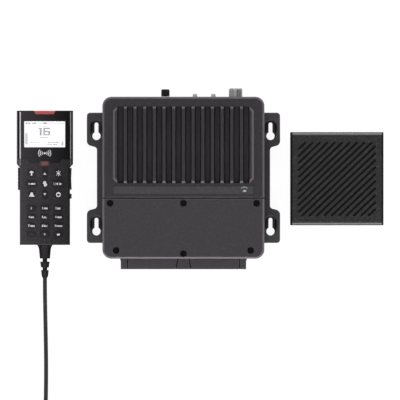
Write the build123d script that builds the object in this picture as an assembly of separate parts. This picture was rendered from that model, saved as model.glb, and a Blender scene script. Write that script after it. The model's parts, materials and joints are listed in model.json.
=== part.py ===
"""Marine VHF radio: a bulkhead transceiver box, a wired handset and a square external speaker.

The three units lie on their backs with their front faces up. The origin is the centre of the
transceiver's mounting face. +X points at the speaker, +Y at the antenna socket and +Z out of the
front faces. Lengths are in millimetres.
"""

from build123d import *
import os
from math import cos, pi, radians, sin, sqrt, tan

# ---------------------------------------------------------------- transceiver, driving dimensions
BODY_W, BODY_H, BODY_R = 194.2, 194.2, 11.0
WALL, FLOOR = 3.5, 4.0
CHASSIS_TOP = 34.0
GASKET_T = 1.0
FACE_Z, FIN_TOP = 53.0, 56.0
EDGE_BEVEL = 2.2
SEAM_Y, SEAM_GAP = -24.4, 1.4
COVER_Z = CHASSIS_TOP + GASKET_T

FIN_COUNT, FIN_PITCH, FIN_TOP_W = 15, 11.6, 3.4
GROOVE_FLOOR, GROOVE_FLOOR_W = 44.0, 5.2
GROOVE_Y = (-6.5, 85.4)
RIB_BLOCK_Y = (-6.3, 85.2)
RIB_BLOCK_HALF_W, RIB_BEVEL, RIB_CORNER = 84.4, 2.4, 5.0

EAR_HALF, RAIL_HALF, EAR_T = 116.3, 104.2, 9.0
EAR_IN, EAR_OUT, EAR_TOP, EAR_R, EAR_LOW_R = 36.4, 39.7, 78.5, 4.0, 6.0
KEYHOLE_X, KEYHOLE_YS, KEYHOLE_R = 104.8, (50.4, -64.4), 4.9
KEYHOLE_SLOT_W, KEYHOLE_RISE = 4.6, 13.9
POCKET_R, POCKET_LOW_R, POCKET_FLOOR = 7.8, 5.4, 3.0
POCKET_DOWN, POCKET_UP = 1.9, 12.0

SCREW_SPOTS = [(x, -30.6) for x in (-87.8, 0, 87.8)] + [(-80.6, -87.2), (0, -91.0), (80.6, -87.2)]
SCREW_HEAD_R, SCREW_GAP, SCREW_SINK = 3.5, 0.6, 1.6

SOCKET_Z = 22.0
ANTENNA_X, ANTENNA_R, ANTENNA_OUT = 62.7, 7.94, 10.4
AUX_X, AUX_R = -21.7, 3.1
CAP_R, CAP_OUT = 5.05, 9.3
EARTH_XS = (13.9, 35.9)
LAMP_AT, LAMP_SIZE = (73.3, -15.9), (5.0, 2.6)

EXIT_OUT, EXIT_HALF, EXIT_Z = 12.8, 75.4, (6.0, 30.0)
END_BLOCK_W, CLAMP_T, CLAMP_GAP = 7.5, 5.0, 1.2
WEDGE_IN, WEDGE_OUT = 6.0, 8.4

# ---------------------------------------------------------------- handset, driving dimensions
HX = -166.75
HS_HALF, HS_HALF_LOW, HS_END = 33.9, 30.25, 80.7
HS_STEP_TOP, HS_STEP_LOW = 16.5, 12.7
HS_SPLIT, HS_CROWN_Z, HS_CROWN_R = 13.0, 27.0, 460.0
HS_DRAFT, HS_SHOULDER_R = 2.5, 2.9
HS_LOW_DRAFT, HS_LOW_SHOULDER_R = 0.9, 1.6
HS_WALL = 2.2
PLATE_Z = 24.4
BEZEL_Z, BEZEL_LOW, BEZEL_TAB, BEZEL_TAB_HALF = 21.0, 22.4, 17.8, 17.0
SCREEN_W, SCREEN_H, SCREEN_Y = 48.8, 30.8, 52.3
LCD_W, LCD_H = 52.0, 34.0
KEY_GAP, KEY_PROUD, KEY_LIP = 0.25, 0.6, 0.9
KEY_XS = (-16.0, 0.0, 16.0)
NAV_YS = (5.35, -7.3, -20.15)
PAD_YS = (-36.35, -46.9, -57.45, -67.9)
PAD_KEY = (10.2, 5.4, 1.4)
RED_KEY_Y, RED_KEY = 17.2, (12.4, 6.0, 1.5)
SIDE_Z = (14.6, 21.6)
LOW_POCKET_Y = 13.8
SHELL_SCREWS = [(-23.0, 72.2), (23.0, 72.2), (-21.0, -74.8), (21.0, -74.8)]
SCREW_TIP = 18.5
PTT_Y, SIDE_BAR_LEN, SIDE_PROUD = -1.2, 27.0, 2.1
POWER_Y, POWER_LEN = -22.2, 6.0
FLAP_TOP_HALF, FLAP_LOW_HALF, FLAP_LOW_Y, FLAP_T = 13.3, 10.8, 76.4, 1.7
FLAP_WALL = 1.2
HINGE_Y, HINGE_Z, HINGE_R, HINGE_PIN_R, HINGE_PIN_END = 79.2, 15.3, 1.2, 0.8, 14.2
BUTTON_Z, BUTTON_R, BUTTON_SHAFT_R = 20.6, 3.6, 2.6
BOARD_TOP, KEY_DROP = 15.4, 1.2
ROCKER_AT, ROCKER_PIN_R = 27.4, 0.85

# ---------------------------------------------------------------- cord, driving dimensions
CORD_R = 2.5
GLAND_Z, GLAND_END = 11.0, -120.5
COIL_AT, COIL_R, COIL_HALF = (HX + 31.8, -311.0), 28.5, 7.5
CORD_ROUTE = [
    (HX, GLAND_END, GLAND_Z),
    (HX, -136.0, GLAND_Z),
    (HX + 0.2, -153.0, 7.6),
    (HX + 0.5, -172.0, 3.7),
    (HX + 0.9, -194.0, 2.6),
    (HX + 1.3, -222.0, 2.5),
    (HX + 1.2, -249.0, 2.5),
    (HX + 0.8, -272.0, 2.5),
    (HX + 0.9, -293.0, 2.5),
]
TAIL_TURN = 300.0
TAIL_STEPS = (15.0, 28.0, 42.0, 56.0)
PLUG_R, PLUG_Z, PLUG_PINS = 7.0, 7.2, 7

# ---------------------------------------------------------------- speaker, driving dimensions
SX, SY = 184.45, -1.1
SP_SIZE, SP_TOP, SP_SPLIT = 112.0, 42.0, 24.0
GRILLE_W, GRILLE_H = 109.8, 110.6
SP_BEND_R, SP_WALL = 4.5, 2.6
SLOT_HALF_X, SLOT_HALF_Y, SLOT_SHIFT = 46.7, 44.4, (-0.3, -0.5)
SLOT_PITCH, SLOT_W, SLOT_ANGLE = 6.09, 2.7, 43.5
SP_CORNER_R = 0.8
SP_HOLE_SPACING, SP_HOLE_R = 84.0, 2.1


# ---------------------------------------------------------------- helpers
def prism(points, start, length, axis):
    """A bar along axis ("X", "Y" or "Z") whose outline is given in the other two axes, in order."""
    place = {
        "X": lambda a, b: (start, a, b),
        "Y": lambda a, b: (a, start, b),
        "Z": lambda a, b: (a, b, start),
    }[axis]
    outline = Polyline(*[place(a, b) for a, b in points], close=True)
    direction = {"X": (1, 0, 0), "Y": (0, 1, 0), "Z": (0, 0, 1)}[axis]
    return extrude(make_face(outline), amount=length, dir=direction)


def slab(w, h, z0, z1, r=0.0, at=(0.0, 0.0)):
    """A plate standing on z0, with rounded vertical corners."""
    sketch = RectangleRounded(w, h, r) if r else Rectangle(w, h)
    return Pos(at[0], at[1], z0) * extrude(sketch, z1 - z0)


def span(x, y, z):
    """A box from its two corners, given as a (low, high) pair on each axis."""
    size = [b - a for a, b in (x, y, z)]
    middle = [(a + b) / 2 for a, b in (x, y, z)]
    return Pos(*middle) * Box(*size)


def rod(r, z0, z1, at=(0.0, 0.0)):
    """An upright round bar."""
    return Pos(at[0], at[1], (z0 + z1) / 2) * Cylinder(r, z1 - z0)


def rod_y(r, y0, y1, x, z):
    """A round bar along Y."""
    return Pos(x, (y0 + y1) / 2, z) * Rot(90, 0, 0) * Cylinder(r, y1 - y0)


def turned(profile, place):
    """A solid of revolution from (radius, along) points; place turns its own Z axis where it goes."""
    outline = Polyline(*[(r, 0, h) for r, h in profile], close=True)
    return place * revolve(make_face(outline), Axis.Z)


def stadium(r, x, y0, y1, z0, z1):
    """An upright bar with an oblong outline along Y, from the centre y0 to the centre y1."""
    middle = slab(2 * r, y1 - y0, z0, z1, at=(x, (y0 + y1) / 2))
    return middle + rod(r, z0, z1, (x, y0)) + rod(r, z0, z1, (x, y1))


def top_edges(shape):
    """The edges of the highest face."""
    return shape.faces().sort_by(Axis.Z)[-1].edges()


ALONG_Y = Rot(-90, 0, 0)


# ---------------------------------------------------------------- transceiver
def flange(side):
    """One mounting flange: two ears joined by a narrow rail. side is -1 for left and 1 for right."""
    inner = BODY_W / 2 - 2
    half = [(inner, 0), (RAIL_HALF, 0), (RAIL_HALF, EAR_IN), (EAR_HALF, EAR_OUT), (EAR_HALF, EAR_TOP)]
    upper = half + [(inner, EAR_TOP)]
    lower = [(x, -y) for x, y in reversed(upper)]
    outline = [(side * x, y) for x, y in upper + lower if y]
    blank = prism(outline, 0, EAR_T, "Z")
    uprights = blank.edges().filter_by(Axis.Z)
    outer = [e for e in uprights if abs(e.center().X) > EAR_HALF - 0.1]
    blank = fillet([e for e in outer if abs(e.center().Y) < EAR_TOP - 1], EAR_LOW_R)
    uprights = blank.edges().filter_by(Axis.Z)
    ends = [e for e in uprights if abs(e.center().X) > EAR_HALF - 0.1 and abs(e.center().Y) > EAR_TOP - 0.1]
    blank = fillet(ends + [e for e in uprights if abs(abs(e.center().X) - RAIL_HALF) < 0.1], EAR_R)
    return chamfer(top_edges(blank).filter_by(lambda e: abs(e.center().X) > inner + 1), 0.8)


def keyhole(x, y):
    """The keyhole, and the pocket with sloping sides round its slot, which ends at the box's side."""
    top, height = EAR_T + 1, EAR_T + 1 - POCKET_FLOOR
    wide = POCKET_LOW_R + height * (POCKET_R - POCKET_LOW_R) / (EAR_T - POCKET_FLOOR)
    trough = prism([(x - POCKET_LOW_R, POCKET_FLOOR), (x + POCKET_LOW_R, POCKET_FLOOR), (x + wide, top),
                    (x - wide, top)], y - POCKET_DOWN, POCKET_DOWN + POCKET_UP, "Y")
    end = Pos(x, y + POCKET_UP, POCKET_FLOOR + height / 2) * Cone(POCKET_LOW_R, wide, height)
    side = 1 if x > 0 else -1
    beside = tuple(sorted((side * BODY_W / 2, side * EAR_HALF)))
    pocket = (trough + end) & span(beside, (y - 2 * POCKET_UP, y + 3 * POCKET_UP), (0, top))
    entry = rod(KEYHOLE_R, -1, top, (x, y))
    slot = stadium(KEYHOLE_SLOT_W / 2, x, y, y + KEYHOLE_RISE, -1, POCKET_FLOOR + 1)
    return pocket + entry + slot


def cable_exit():
    """The shelf under the box with its end blocks and centre wedge, which hold the cable glands."""
    y_in, y_out = -BODY_H / 2 + 1, -BODY_H / 2 - EXIT_OUT
    z0, z1 = EXIT_Z
    shelf = span((-EXIT_HALF, EXIT_HALF), (y_out, y_in), (z0, z0 + FLOOR))
    wedge = prism(
        [(-WEDGE_OUT, y_out), (WEDGE_OUT, y_out), (WEDGE_IN, y_in), (-WEDGE_IN, y_in)], z0, z1 - z0, "Z"
    )
    blocks = shelf + chamfer(top_edges(wedge), 0.5)
    for side in (-1, 1):
        inner, outer = side * (EXIT_HALF - END_BLOCK_W), side * EXIT_HALF
        flared = outer + side * 1.4
        block = prism([(inner, y_out), (outer, y_out), (outer, y_in - 4), (flared, y_in), (inner, y_in)],
                      z0, z1 - z0, "Z")
        blocks += chamfer(top_edges(block), 0.5)
    return blocks


def gland_bay(side, grow=0.0):
    """The space between an end block and the wedge, which a gland strip fills."""
    outer = EXIT_HALF - END_BLOCK_W + grow
    y0, y1 = -BODY_H / 2 - EXIT_OUT + 1.0, -BODY_H / 2 + WALL + 2.0
    z0, z1 = EXIT_Z[0] + FLOOR, EXIT_Z[1] - CLAMP_T
    x0, x1 = WEDGE_OUT + 0.6 - grow, outer
    low, high = sorted((side * x0, side * x1))
    return span((low, high), (y0, y1), (z0, z1))


def chassis():
    """The die-cast tray with its mounting flanges, bosses, socket holes and cable exit."""
    tray = slab(BODY_W, BODY_H, 0, CHASSIS_TOP, BODY_R)
    tray = chamfer(tray.faces().sort_by(Axis.Z)[0].edges(), 1.0)
    divider = SEAM_Y
    inner_w, inner_top = BODY_W - 2 * WALL, BODY_H / 2 - WALL
    upper = slab(inner_w, inner_top - divider - 2, FLOOR, CHASSIS_TOP, 6,
                 (0, (inner_top + divider + 2) / 2))
    lower = slab(inner_w, inner_top + divider - 2, FLOOR, CHASSIS_TOP, 6,
                 (0, (-inner_top + divider - 2) / 2))
    tray = tray - upper - lower
    for x, y in SCREW_SPOTS:
        tray += rod(4.4, FLOOR - 1, CHASSIS_TOP - 1, (x, y))
    for x in (-80, 80):
        for y in (-12, 84):
            tray += rod(3.5, FLOOR - 1, 12, (x, y))
    tray = tray + flange(-1) + flange(1) + cable_exit()
    for side in (-1, 1):
        tray -= gland_bay(side)
        for y in KEYHOLE_YS:
            tray -= keyhole(side * KEYHOLE_X, y)
    for x, y in SCREW_SPOTS:
        tray -= rod(2.0, 16, CHASSIS_TOP + 1, (x, y))
    for x in (-80, 80):
        for y in (-12, 84):
            tray -= rod(1.3, 6, 13, (x, y))
    wall_y = (BODY_H / 2 - WALL - 1, BODY_H / 2 + 1)
    for x, r in [(ANTENNA_X, 7.5), (AUX_X, 3.2)] + [(x, 1.6) for x in EARTH_XS]:
        tray -= rod_y(r, *wall_y, x, SOCKET_Z)
    return tray


def cover_blank(y0, y1):
    """One half of the two-piece front: a lid with a bevelled outer edge, cut off at the seam."""
    lid = slab(BODY_W, BODY_H, COVER_Z, FACE_Z, BODY_R)
    lid = chamfer(top_edges(lid), EDGE_BEVEL)
    part = lid & span((-BODY_W, BODY_W), (y0, y1), (0, FIN_TOP))
    seam = y0 if abs(y0) < abs(y1) else y1
    edge = part.edges().filter_by(lambda e: abs(e.center().Y - seam) < 0.01 and e.center().Z > FACE_Z - 0.01)
    return chamfer(edge, 0.6)


def heatsink_cover():
    """The upper front: a cast lid whose cooling ribs stand up from deep grooves."""
    y0, y1 = SEAM_Y + SEAM_GAP / 2, BODY_H / 2
    cover = cover_blank(y0, y1)
    hollow_y = (y0 + WALL, y1 - WALL)
    cover -= slab(BODY_W - 2 * WALL, hollow_y[1] - hollow_y[0], COVER_Z - 1, FACE_Z - WALL, 6,
                  (0, sum(hollow_y) / 2))
    groove_mid, groove_len = sum(GROOVE_Y) / 2, GROOVE_Y[1] - GROOVE_Y[0]
    cover += slab(2 * RIB_BLOCK_HALF_W, groove_len + 5, GROOVE_FLOOR - 3, FACE_Z - 1, 3, (0, groove_mid))
    x, c = RIB_BLOCK_HALF_W, RIB_CORNER
    b0, b1 = RIB_BLOCK_Y
    ribs = prism([(-x + c, b0), (x - c, b0), (x, b0 + c), (x, b1 - c), (x - c, b1), (-x + c, b1),
                  (-x, b1 - c), (-x, b0 + c)], FACE_Z - 1, FIN_TOP - FACE_Z + 1, "Z")
    cover += chamfer(top_edges(ribs), RIB_BEVEL)
    top_half, low_half = (FIN_PITCH - FIN_TOP_W) / 2, GROOVE_FLOOR_W / 2
    spread = (top_half - low_half) / (FIN_TOP - GROOVE_FLOOR)
    over = FIN_TOP + 2
    wide = top_half + 2 * spread
    for i in range(FIN_COUNT - 1):
        x = (i - (FIN_COUNT - 2) / 2) * FIN_PITCH
        cover -= prism([(x - low_half, GROOVE_FLOOR), (x + low_half, GROOVE_FLOOR), (x + wide, over),
                        (x - wide, over)], GROOVE_Y[0], groove_len, "Y")
    lamp = slab(*LAMP_SIZE, FACE_Z - WALL - 1, FACE_Z + 1, LAMP_SIZE[1] / 2 - 0.01, LAMP_AT)
    return cover - lamp


def wiring_cover():
    """The plain lower front, held by six sunk screws."""
    y0, y1 = -BODY_H / 2, SEAM_Y - SEAM_GAP / 2
    cover = cover_blank(y0, y1)
    hollow_y = (y0 + WALL, y1 - WALL)
    cover -= slab(BODY_W - 2 * WALL, hollow_y[1] - hollow_y[0], COVER_Z - 1, FACE_Z - 3, 6,
                  (0, sum(hollow_y) / 2))
    for spot in SCREW_SPOTS:
        cover += rod(5.0, COVER_Z, FACE_Z - 2, spot) & span(
            (-BODY_W / 2 + 1, BODY_W / 2 - 1), (y0 + 1, y1), (0, FACE_Z))
    for spot in SCREW_SPOTS:
        cover -= rod(2.2, COVER_Z - 1, FACE_Z, spot)
        cover -= rod(SCREW_HEAD_R + SCREW_GAP, FACE_Z - 5, FACE_Z + 1, spot)
    return cover


def cover_screws():
    """Six socket-head screws, sunk in the wiring cover."""
    screws = []
    top = FACE_Z - SCREW_SINK
    for spot in SCREW_SPOTS:
        head = chamfer(top_edges(rod(SCREW_HEAD_R, FACE_Z - 5, top, spot)), 0.4)
        socket = Pos(*spot, top - 2) * extrude(RegularPolygon(1.9, 6), 3)
        screws.append(head + rod(1.9, 20, FACE_Z - 4.9, spot) - socket)
    return Compound(children=screws)


def cover_gasket():
    """The seal between the chassis rim and both covers, with a bar under the seam."""
    w, h = BODY_W - 2, BODY_H - 2
    ring = slab(w, h, CHASSIS_TOP, COVER_Z, BODY_R - 1) - slab(w - 4, h - 4, 0, COVER_Z + 1, BODY_R - 3)
    bar = span((-w / 2 + 1, w / 2 - 1), (SEAM_Y - 1.9, SEAM_Y + 1.9), (CHASSIS_TOP, COVER_Z))
    seal = ring + bar
    for spot in SCREW_SPOTS:
        seal -= rod(5.2, 0, FACE_Z, spot)
    return seal


def main_board():
    """The circuit board in the radio bay, on its four standoffs."""
    board = slab(176, 104, 12, 13.6, 3, (0, 36))
    for x in (-80, 80):
        for y in (-12, 84):
            board -= rod(1.6, 11, 15, (x, y))
    return board


def rf_shield():
    """The screening can over the power amplifier."""
    can = chamfer(top_edges(slab(64, 52, 13.6, 28, 2, (48, 50))), 0.6)
    can -= slab(62, 50, 13, 27.2, 1.5, (48, 50))
    for i in range(5):
        can -= slab(40, 1.6, 27, 29, 0.7, (48, 34 + 8 * i))
    return can


def terminal_block():
    """The screw terminals in the wiring bay, where the ship's wires end."""
    block = span((-62, 62), (-66, -52), (FLOOR, 16)) + span((-62, 62), (-60, -52), (16, 20))
    for i in range(12):
        x = (i - 5.5) * 10
        block -= rod(2.2, 14, 21, (x, -56))
        block -= span((x - 3, x + 3), (-67, -62), (6, 12))
    return block


def gland_strips():
    """Two rubber strips with moulded blind cable entries."""
    strips = []
    for side in (-1, 1):
        strip = gland_bay(side)
        face_y = -BODY_H / 2 - EXIT_OUT + 1.0
        for i in range(4):
            x = side * (18.0 + 14.0 * i)
            strip -= rod_y(5.0, face_y - 1, face_y + 0.8, x, 17.5)
            strip += rod_y(3.6, face_y - 0.2, face_y + 1.2, x, 17.5)
        strips.append(strip)
    return Compound(children=strips)


def clamp_plates():
    """Two plates that press the gland strips down, between the end blocks and the wedge."""
    plates = []
    y_in, y_out = -BODY_H / 2, -BODY_H / 2 - EXIT_OUT
    for side in (-1, 1):
        outer = side * (EXIT_HALF - END_BLOCK_W - CLAMP_GAP)
        near, far = side * (WEDGE_IN + CLAMP_GAP + 0.3), side * (WEDGE_OUT + CLAMP_GAP)
        plate = prism([(outer, y_out), (far, y_out), (near, y_in), (outer, y_in)],
                      EXIT_Z[1] - CLAMP_T, CLAMP_T, "Z")
        plates.append(chamfer(top_edges(plate), 0.6))
    return Compound(children=plates)


def antenna_socket():
    """The threaded coaxial socket's shell and its centre contact."""
    y0 = BODY_H / 2
    place = Pos(ANTENNA_X, y0, SOCKET_Z) * ALONG_Y
    shell = turned([(4.7, -4.5), (7.3, -4.5), (7.3, 0.2), (ANTENNA_R, 0.2), (ANTENNA_R, ANTENNA_OUT - 0.7),
                    (ANTENNA_R - 0.7, ANTENNA_OUT), (6.2, ANTENNA_OUT), (6.2, 1.4), (4.7, 1.4)], place)
    flange_plate = place * Pos(0, 0, -WALL - 1.3) * Box(22, 22, 2.4)
    shell += flange_plate - place * Cylinder(4.7, 20)
    contact = turned([(1.95, -7), (2.5, -7), (2.5, ANTENNA_OUT - 1.6), (1.95, ANTENNA_OUT - 1.6)], place)
    return Compound(children=[shell, contact])


def antenna_insulator():
    """The stepped insulator that holds the centre contact."""
    place = Pos(ANTENNA_X, BODY_H / 2, SOCKET_Z) * ALONG_Y
    return turned([(2.5, -6), (4.6, -6), (4.6, 1.5), (6.1, 1.5), (6.1, 3.4), (4.3, 3.4),
                   (4.3, ANTENNA_OUT - 1.2), (2.5, ANTENNA_OUT - 1.2)], place)


def aux_socket():
    """The small threaded antenna jack under the rubber cap."""
    place = Pos(AUX_X, BODY_H / 2, SOCKET_Z) * ALONG_Y
    return turned([(0.6, -8), (AUX_R, -8), (AUX_R, 0), (5.0, 0), (5.0, 0.8), (AUX_R, 0.8),
                   (AUX_R, 8.0), (2.3, 8.0), (2.3, 2.0), (0.6, 2.0)], place)


def port_cap():
    """The rubber cap pushed over the small jack."""
    place = Pos(AUX_X, BODY_H / 2, SOCKET_Z) * ALONG_Y
    bore = AUX_R + 0.08
    cap = turned([(bore, 1.0), (CAP_R, 1.0), (CAP_R, 7.2), (CAP_R - 0.4, 8.9), (CAP_R - 1.5, CAP_OUT),
                  (0, CAP_OUT), (0, 8.3), (bore, 8.3)], place)
    return cap


def earth_screws():
    """Two earthing screws with washers on the top wall."""
    screws = []
    for x in EARTH_XS:
        place = Pos(x, BODY_H / 2, SOCKET_Z) * ALONG_Y
        screw = turned([(0, -9), (1.5, -9), (1.5, 0), (3.1, 0), (3.1, 0.7), (2.75, 0.7), (2.75, 3.0),
                        (2.0, 3.9), (0, 4.1)], place)
        slot = place * Pos(0, 0, 3.7) * Box(7, 0.8, 1.6)
        screws.append(screw - slot)
    return Compound(children=screws)


def status_lens():
    """The oblong light pipe over the green power lamp."""
    w, h = LAMP_SIZE[0] - 0.3, LAMP_SIZE[1] - 0.3
    lens = slab(w, h, FACE_Z - WALL - 4, FACE_Z + 0.25, h / 2 - 0.01, LAMP_AT)
    return lens


# ---------------------------------------------------------------- handset
def crown(x):
    """Height of the handset's gently arched face, x from its centreline."""
    return HS_CROWN_Z - HS_CROWN_R + sqrt(HS_CROWN_R**2 - x**2)


def front_half(half, draft, shoulder_r, y0, y1):
    """A length of the handset's front, with drafted sides, rounded shoulders and an arched face."""
    edge = half - draft
    top = crown(edge)
    sides = Polyline((HX + edge, y0, top), (HX + half, y0, HS_SPLIT), (HX - half, y0, HS_SPLIT),
                     (HX - edge, y0, top))
    arch = ThreePointArc((HX - edge, y0, top), (HX, y0, HS_CROWN_Z), (HX + edge, y0, top))
    length = extrude(make_face(sides + arch), amount=y1 - y0, dir=(0, 1, 0))
    return fillet(length.edges().filter_by(Axis.Y).group_by(Axis.Z)[-1], shoulder_r)


def handset_outline(inset, z0, z1):
    """The handset's stepped outline as an upright block, its walls moved in by inset."""
    wide, slim, end = HS_HALF - inset, HS_HALF_LOW - inset, HS_END - inset
    right = [(slim, -end), (slim, HS_STEP_LOW), (wide, HS_STEP_TOP), (wide, end)]
    left = [(-x, y) for x, y in reversed(right)]
    return prism([(HX + x, y) for x, y in right + left], z0, z1 - z0, "Z")


def side_limits(z_low_end, z_top_end):
    """The bevelled side view that both shells are cut to."""
    end = HS_END
    outline = [(-end, z_low_end), (-end, z_top_end), (-end + 1.6, 30), (end - 1.6, 30), (end, z_top_end),
               (end, z_low_end), (end - 2.5, 0), (-end + 2.5, 0)]
    return prism(outline, HX - 60, 120, "X")


def bezel_region(grow):
    """The upper face that the glossy bezel takes, with the tab around the red key."""
    low, tab = BEZEL_LOW - grow, BEZEL_TAB - grow
    a, b = BEZEL_TAB_HALF + grow, BEZEL_TAB_HALF + 4.2 + grow
    outline = [(-60, low), (-b, low), (-a, tab), (a, tab), (b, low), (60, low), (60, 90), (-60, 90)]
    return prism([(HX + x, y) for x, y in outline], BEZEL_Z, 20, "Z")


def flap_space(grow, z0):
    """The tapered place at the top end that the distress flap covers."""
    top, low, y = FLAP_TOP_HALF + grow, FLAP_LOW_HALF + grow, FLAP_LOW_Y - grow
    return prism([(HX - low, y), (HX + low, y), (HX + top, HS_END + 1), (HX - top, HS_END + 1)],
                 z0, 40 - z0, "Z")


def handset_front_blank():
    """The whole front, before the bezel is split off it."""
    upper = front_half(HS_HALF, HS_DRAFT, HS_SHOULDER_R, HS_STEP_LOW, HS_END)
    lower = front_half(HS_HALF_LOW, HS_LOW_DRAFT, HS_LOW_SHOULDER_R, -HS_END, HS_STEP_TOP)
    whole = upper + lower
    return whole & handset_outline(0, HS_SPLIT, 30) & side_limits(8, 24.6)


def key_table():
    """Every face key: name, x, y, (width, height, corner radius)."""
    round_key, bar_key, tall_key = (8.2, 8.2, 4.09), (13.8, 6.9, 3.2), (5.8, 9.6, 2.4)
    names = [("scan", "up", "light"), ("menu", "select", "exit"), ("call", "down", "home")]
    shapes = [(round_key, tall_key, round_key), (bar_key, (7.8, 7.8, 3.89), bar_key),
              (round_key, tall_key, round_key)]
    keys = [("key_red", 0.0, RED_KEY_Y, RED_KEY)]
    for row, y in enumerate(NAV_YS):
        for x, name, shape in zip(KEY_XS, names[row], shapes[row]):
            keys.append((f"key_{name}", x, y, shape))
    digits = ["1", "2", "3", "4", "5", "6", "7", "8", "9", "star", "0", "hash"]
    for i, digit in enumerate(digits):
        keys.append((f"key_{digit}", KEY_XS[i % 3], PAD_YS[i // 3], PAD_KEY))
    return keys


def key_cap(x, y, size):
    """One key: cap through the face, retaining lip under it and a plunger towards the board."""
    w, h, r = size
    red = y == RED_KEY_Y
    lip_top = BEZEL_Z - 2.6 if red else PLATE_Z - 0.3
    top = crown(x) + (0.3 if red else KEY_PROUD)
    at = (HX + x, y)
    cap = slab(w, h, lip_top - 0.5, top, r, at)
    cap = fillet(top_edges(cap), 0.45)
    lip = slab(w + 2 * KEY_LIP, h + 2 * KEY_LIP, lip_top - 1.0, lip_top, min(r + KEY_LIP, 4.7), at)
    plunger = rod(1.6, BOARD_TOP + KEY_DROP, lip_top - 0.9, at)
    return cap + lip + plunger


def key_slot(x, y, size):
    """The hole in the face for one key."""
    w, h, r = size
    low = HS_SPLIT - 1 if y == RED_KEY_Y else PLATE_Z - 1
    grow = 2 * KEY_GAP
    return slab(w + grow, h + grow, low, 30, r + KEY_GAP, (HX + x, y))


def side_windows():
    """Openings in the side walls for the talk bar, the rocker and the power button."""
    gap = 0.3
    z = (SIDE_Z[0] - gap, SIDE_Z[1] + gap)
    bar = (PTT_Y - SIDE_BAR_LEN / 2 - gap, PTT_Y + SIDE_BAR_LEN / 2 + gap)
    button = (POWER_Y - POWER_LEN / 2 - gap, POWER_Y + POWER_LEN / 2 + gap)
    left = span((HX - 40, HX - 27), bar, z)
    right = span((HX + 27, HX + 40), bar, z)
    return left + right + span((HX + 27, HX + 40), button, z)


def button_space():
    """Room inside the top end for the distress button's shaft and collar."""
    collar = rod_y(BUTTON_R + 0.3, FLAP_LOW_Y - 6, FLAP_LOW_Y - 2.0, HX, BUTTON_Z)
    return collar + rod_y(BUTTON_SHAFT_R + 0.25, FLAP_LOW_Y - 3, FLAP_LOW_Y, HX, BUTTON_Z)


def front_shell():
    """The handset's front housing, with the keypad face."""
    shell = handset_front_blank() - bezel_region(0.25)
    within = (HX - HS_HALF, HX + HS_HALF)
    low = handset_outline(2.7, HS_SPLIT - 1, PLATE_Z) & span(within, (-HS_END, LOW_POCKET_Y), (0, 40))
    high = handset_outline(3.4, HS_SPLIT - 1, BEZEL_Z - 2) & span(within, (0, FLAP_LOW_Y - 2), (0, 40))
    shell = shell - low - high
    for x, y in SHELL_SCREWS:
        boss_top = PLATE_Z + 0.1 if y < 0 else BEZEL_Z - 0.5
        shell += rod(2.8, HS_SPLIT, boss_top, (HX + x, y)) - rod(1.5, 0, SCREW_TIP, (HX + x, y))
    shell -= slab(LCD_W + 0.4, LCD_H + 0.4, HS_SPLIT - 1, 30, 0.5, (HX, SCREEN_Y))
    shell -= flap_space(0.3, HS_SPLIT + 0.6)
    swing = (HX - FLAP_TOP_HALF - 0.2, HX + FLAP_TOP_HALF + 0.2)
    shell -= span(swing, (HINGE_Y - 2.2, HS_END + 1), (HS_SPLIT + 0.4, HINGE_Z + 2.2))
    for name, x, y, size in key_table():
        shell -= key_slot(x, y, size)
    shell -= side_windows()
    shell += rod(ROCKER_PIN_R, HS_SPLIT, PLATE_Z + 0.2, (HX + ROCKER_AT, PTT_Y))
    shell -= button_space()
    shell -= Pos(HX, HINGE_Y, HINGE_Z) * Rot(0, 90, 0) * Cylinder(HINGE_PIN_R + 0.05, 2 * HINGE_PIN_END + 1)
    for i in (-1, 0, 1):
        shell -= rod(0.6, PLATE_Z - 1, 30, (HX + 3 * i, -75.2))
    return shell


def display_bezel():
    """The glossy surround of the display."""
    bezel = handset_front_blank() & bezel_region(0)
    bezel -= slab(LCD_W + 0.4, LCD_H + 0.4, 0, 24.5, 0.5, (HX, SCREEN_Y))
    bezel -= slab(SCREEN_W + 0.4, SCREEN_H + 0.4, 24, 30, 0.8, (HX, SCREEN_Y))
    bezel = bezel - flap_space(0.3, HS_SPLIT) - button_space()
    bezel -= key_slot(0.0, RED_KEY_Y, RED_KEY)
    return bezel


def display_window():
    """The clear pane over the display."""
    pane = slab(SCREEN_W, SCREEN_H, 24.6, 26.1, 0.6, (HX, SCREEN_Y))
    return chamfer(top_edges(pane), 0.3)


def lcd_module():
    """The liquid-crystal module under the pane."""
    return slab(LCD_W, LCD_H, 16.2, 24.4, 0.5, (HX, SCREEN_Y))


def handset_board():
    """The handset's circuit board."""
    board = slab(44, 139, BOARD_TOP - 1.6, BOARD_TOP, 2, (HX, -1.5))
    return board + slab(30, 8, BOARD_TOP - 1.6, BOARD_TOP, 1, (HX, -73.0))


def rear_length(half, y0, y1):
    """A length of the handset's back, with bevelled edges."""
    points = [(HX - half, HS_SPLIT), (HX - half + 1.0, 5.0), (HX - half + 6.0, 0), (HX + half - 6.0, 0),
              (HX + half - 1.0, 5.0), (HX + half, HS_SPLIT)]
    return prism(points, y0, y1 - y0, "Y")


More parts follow.
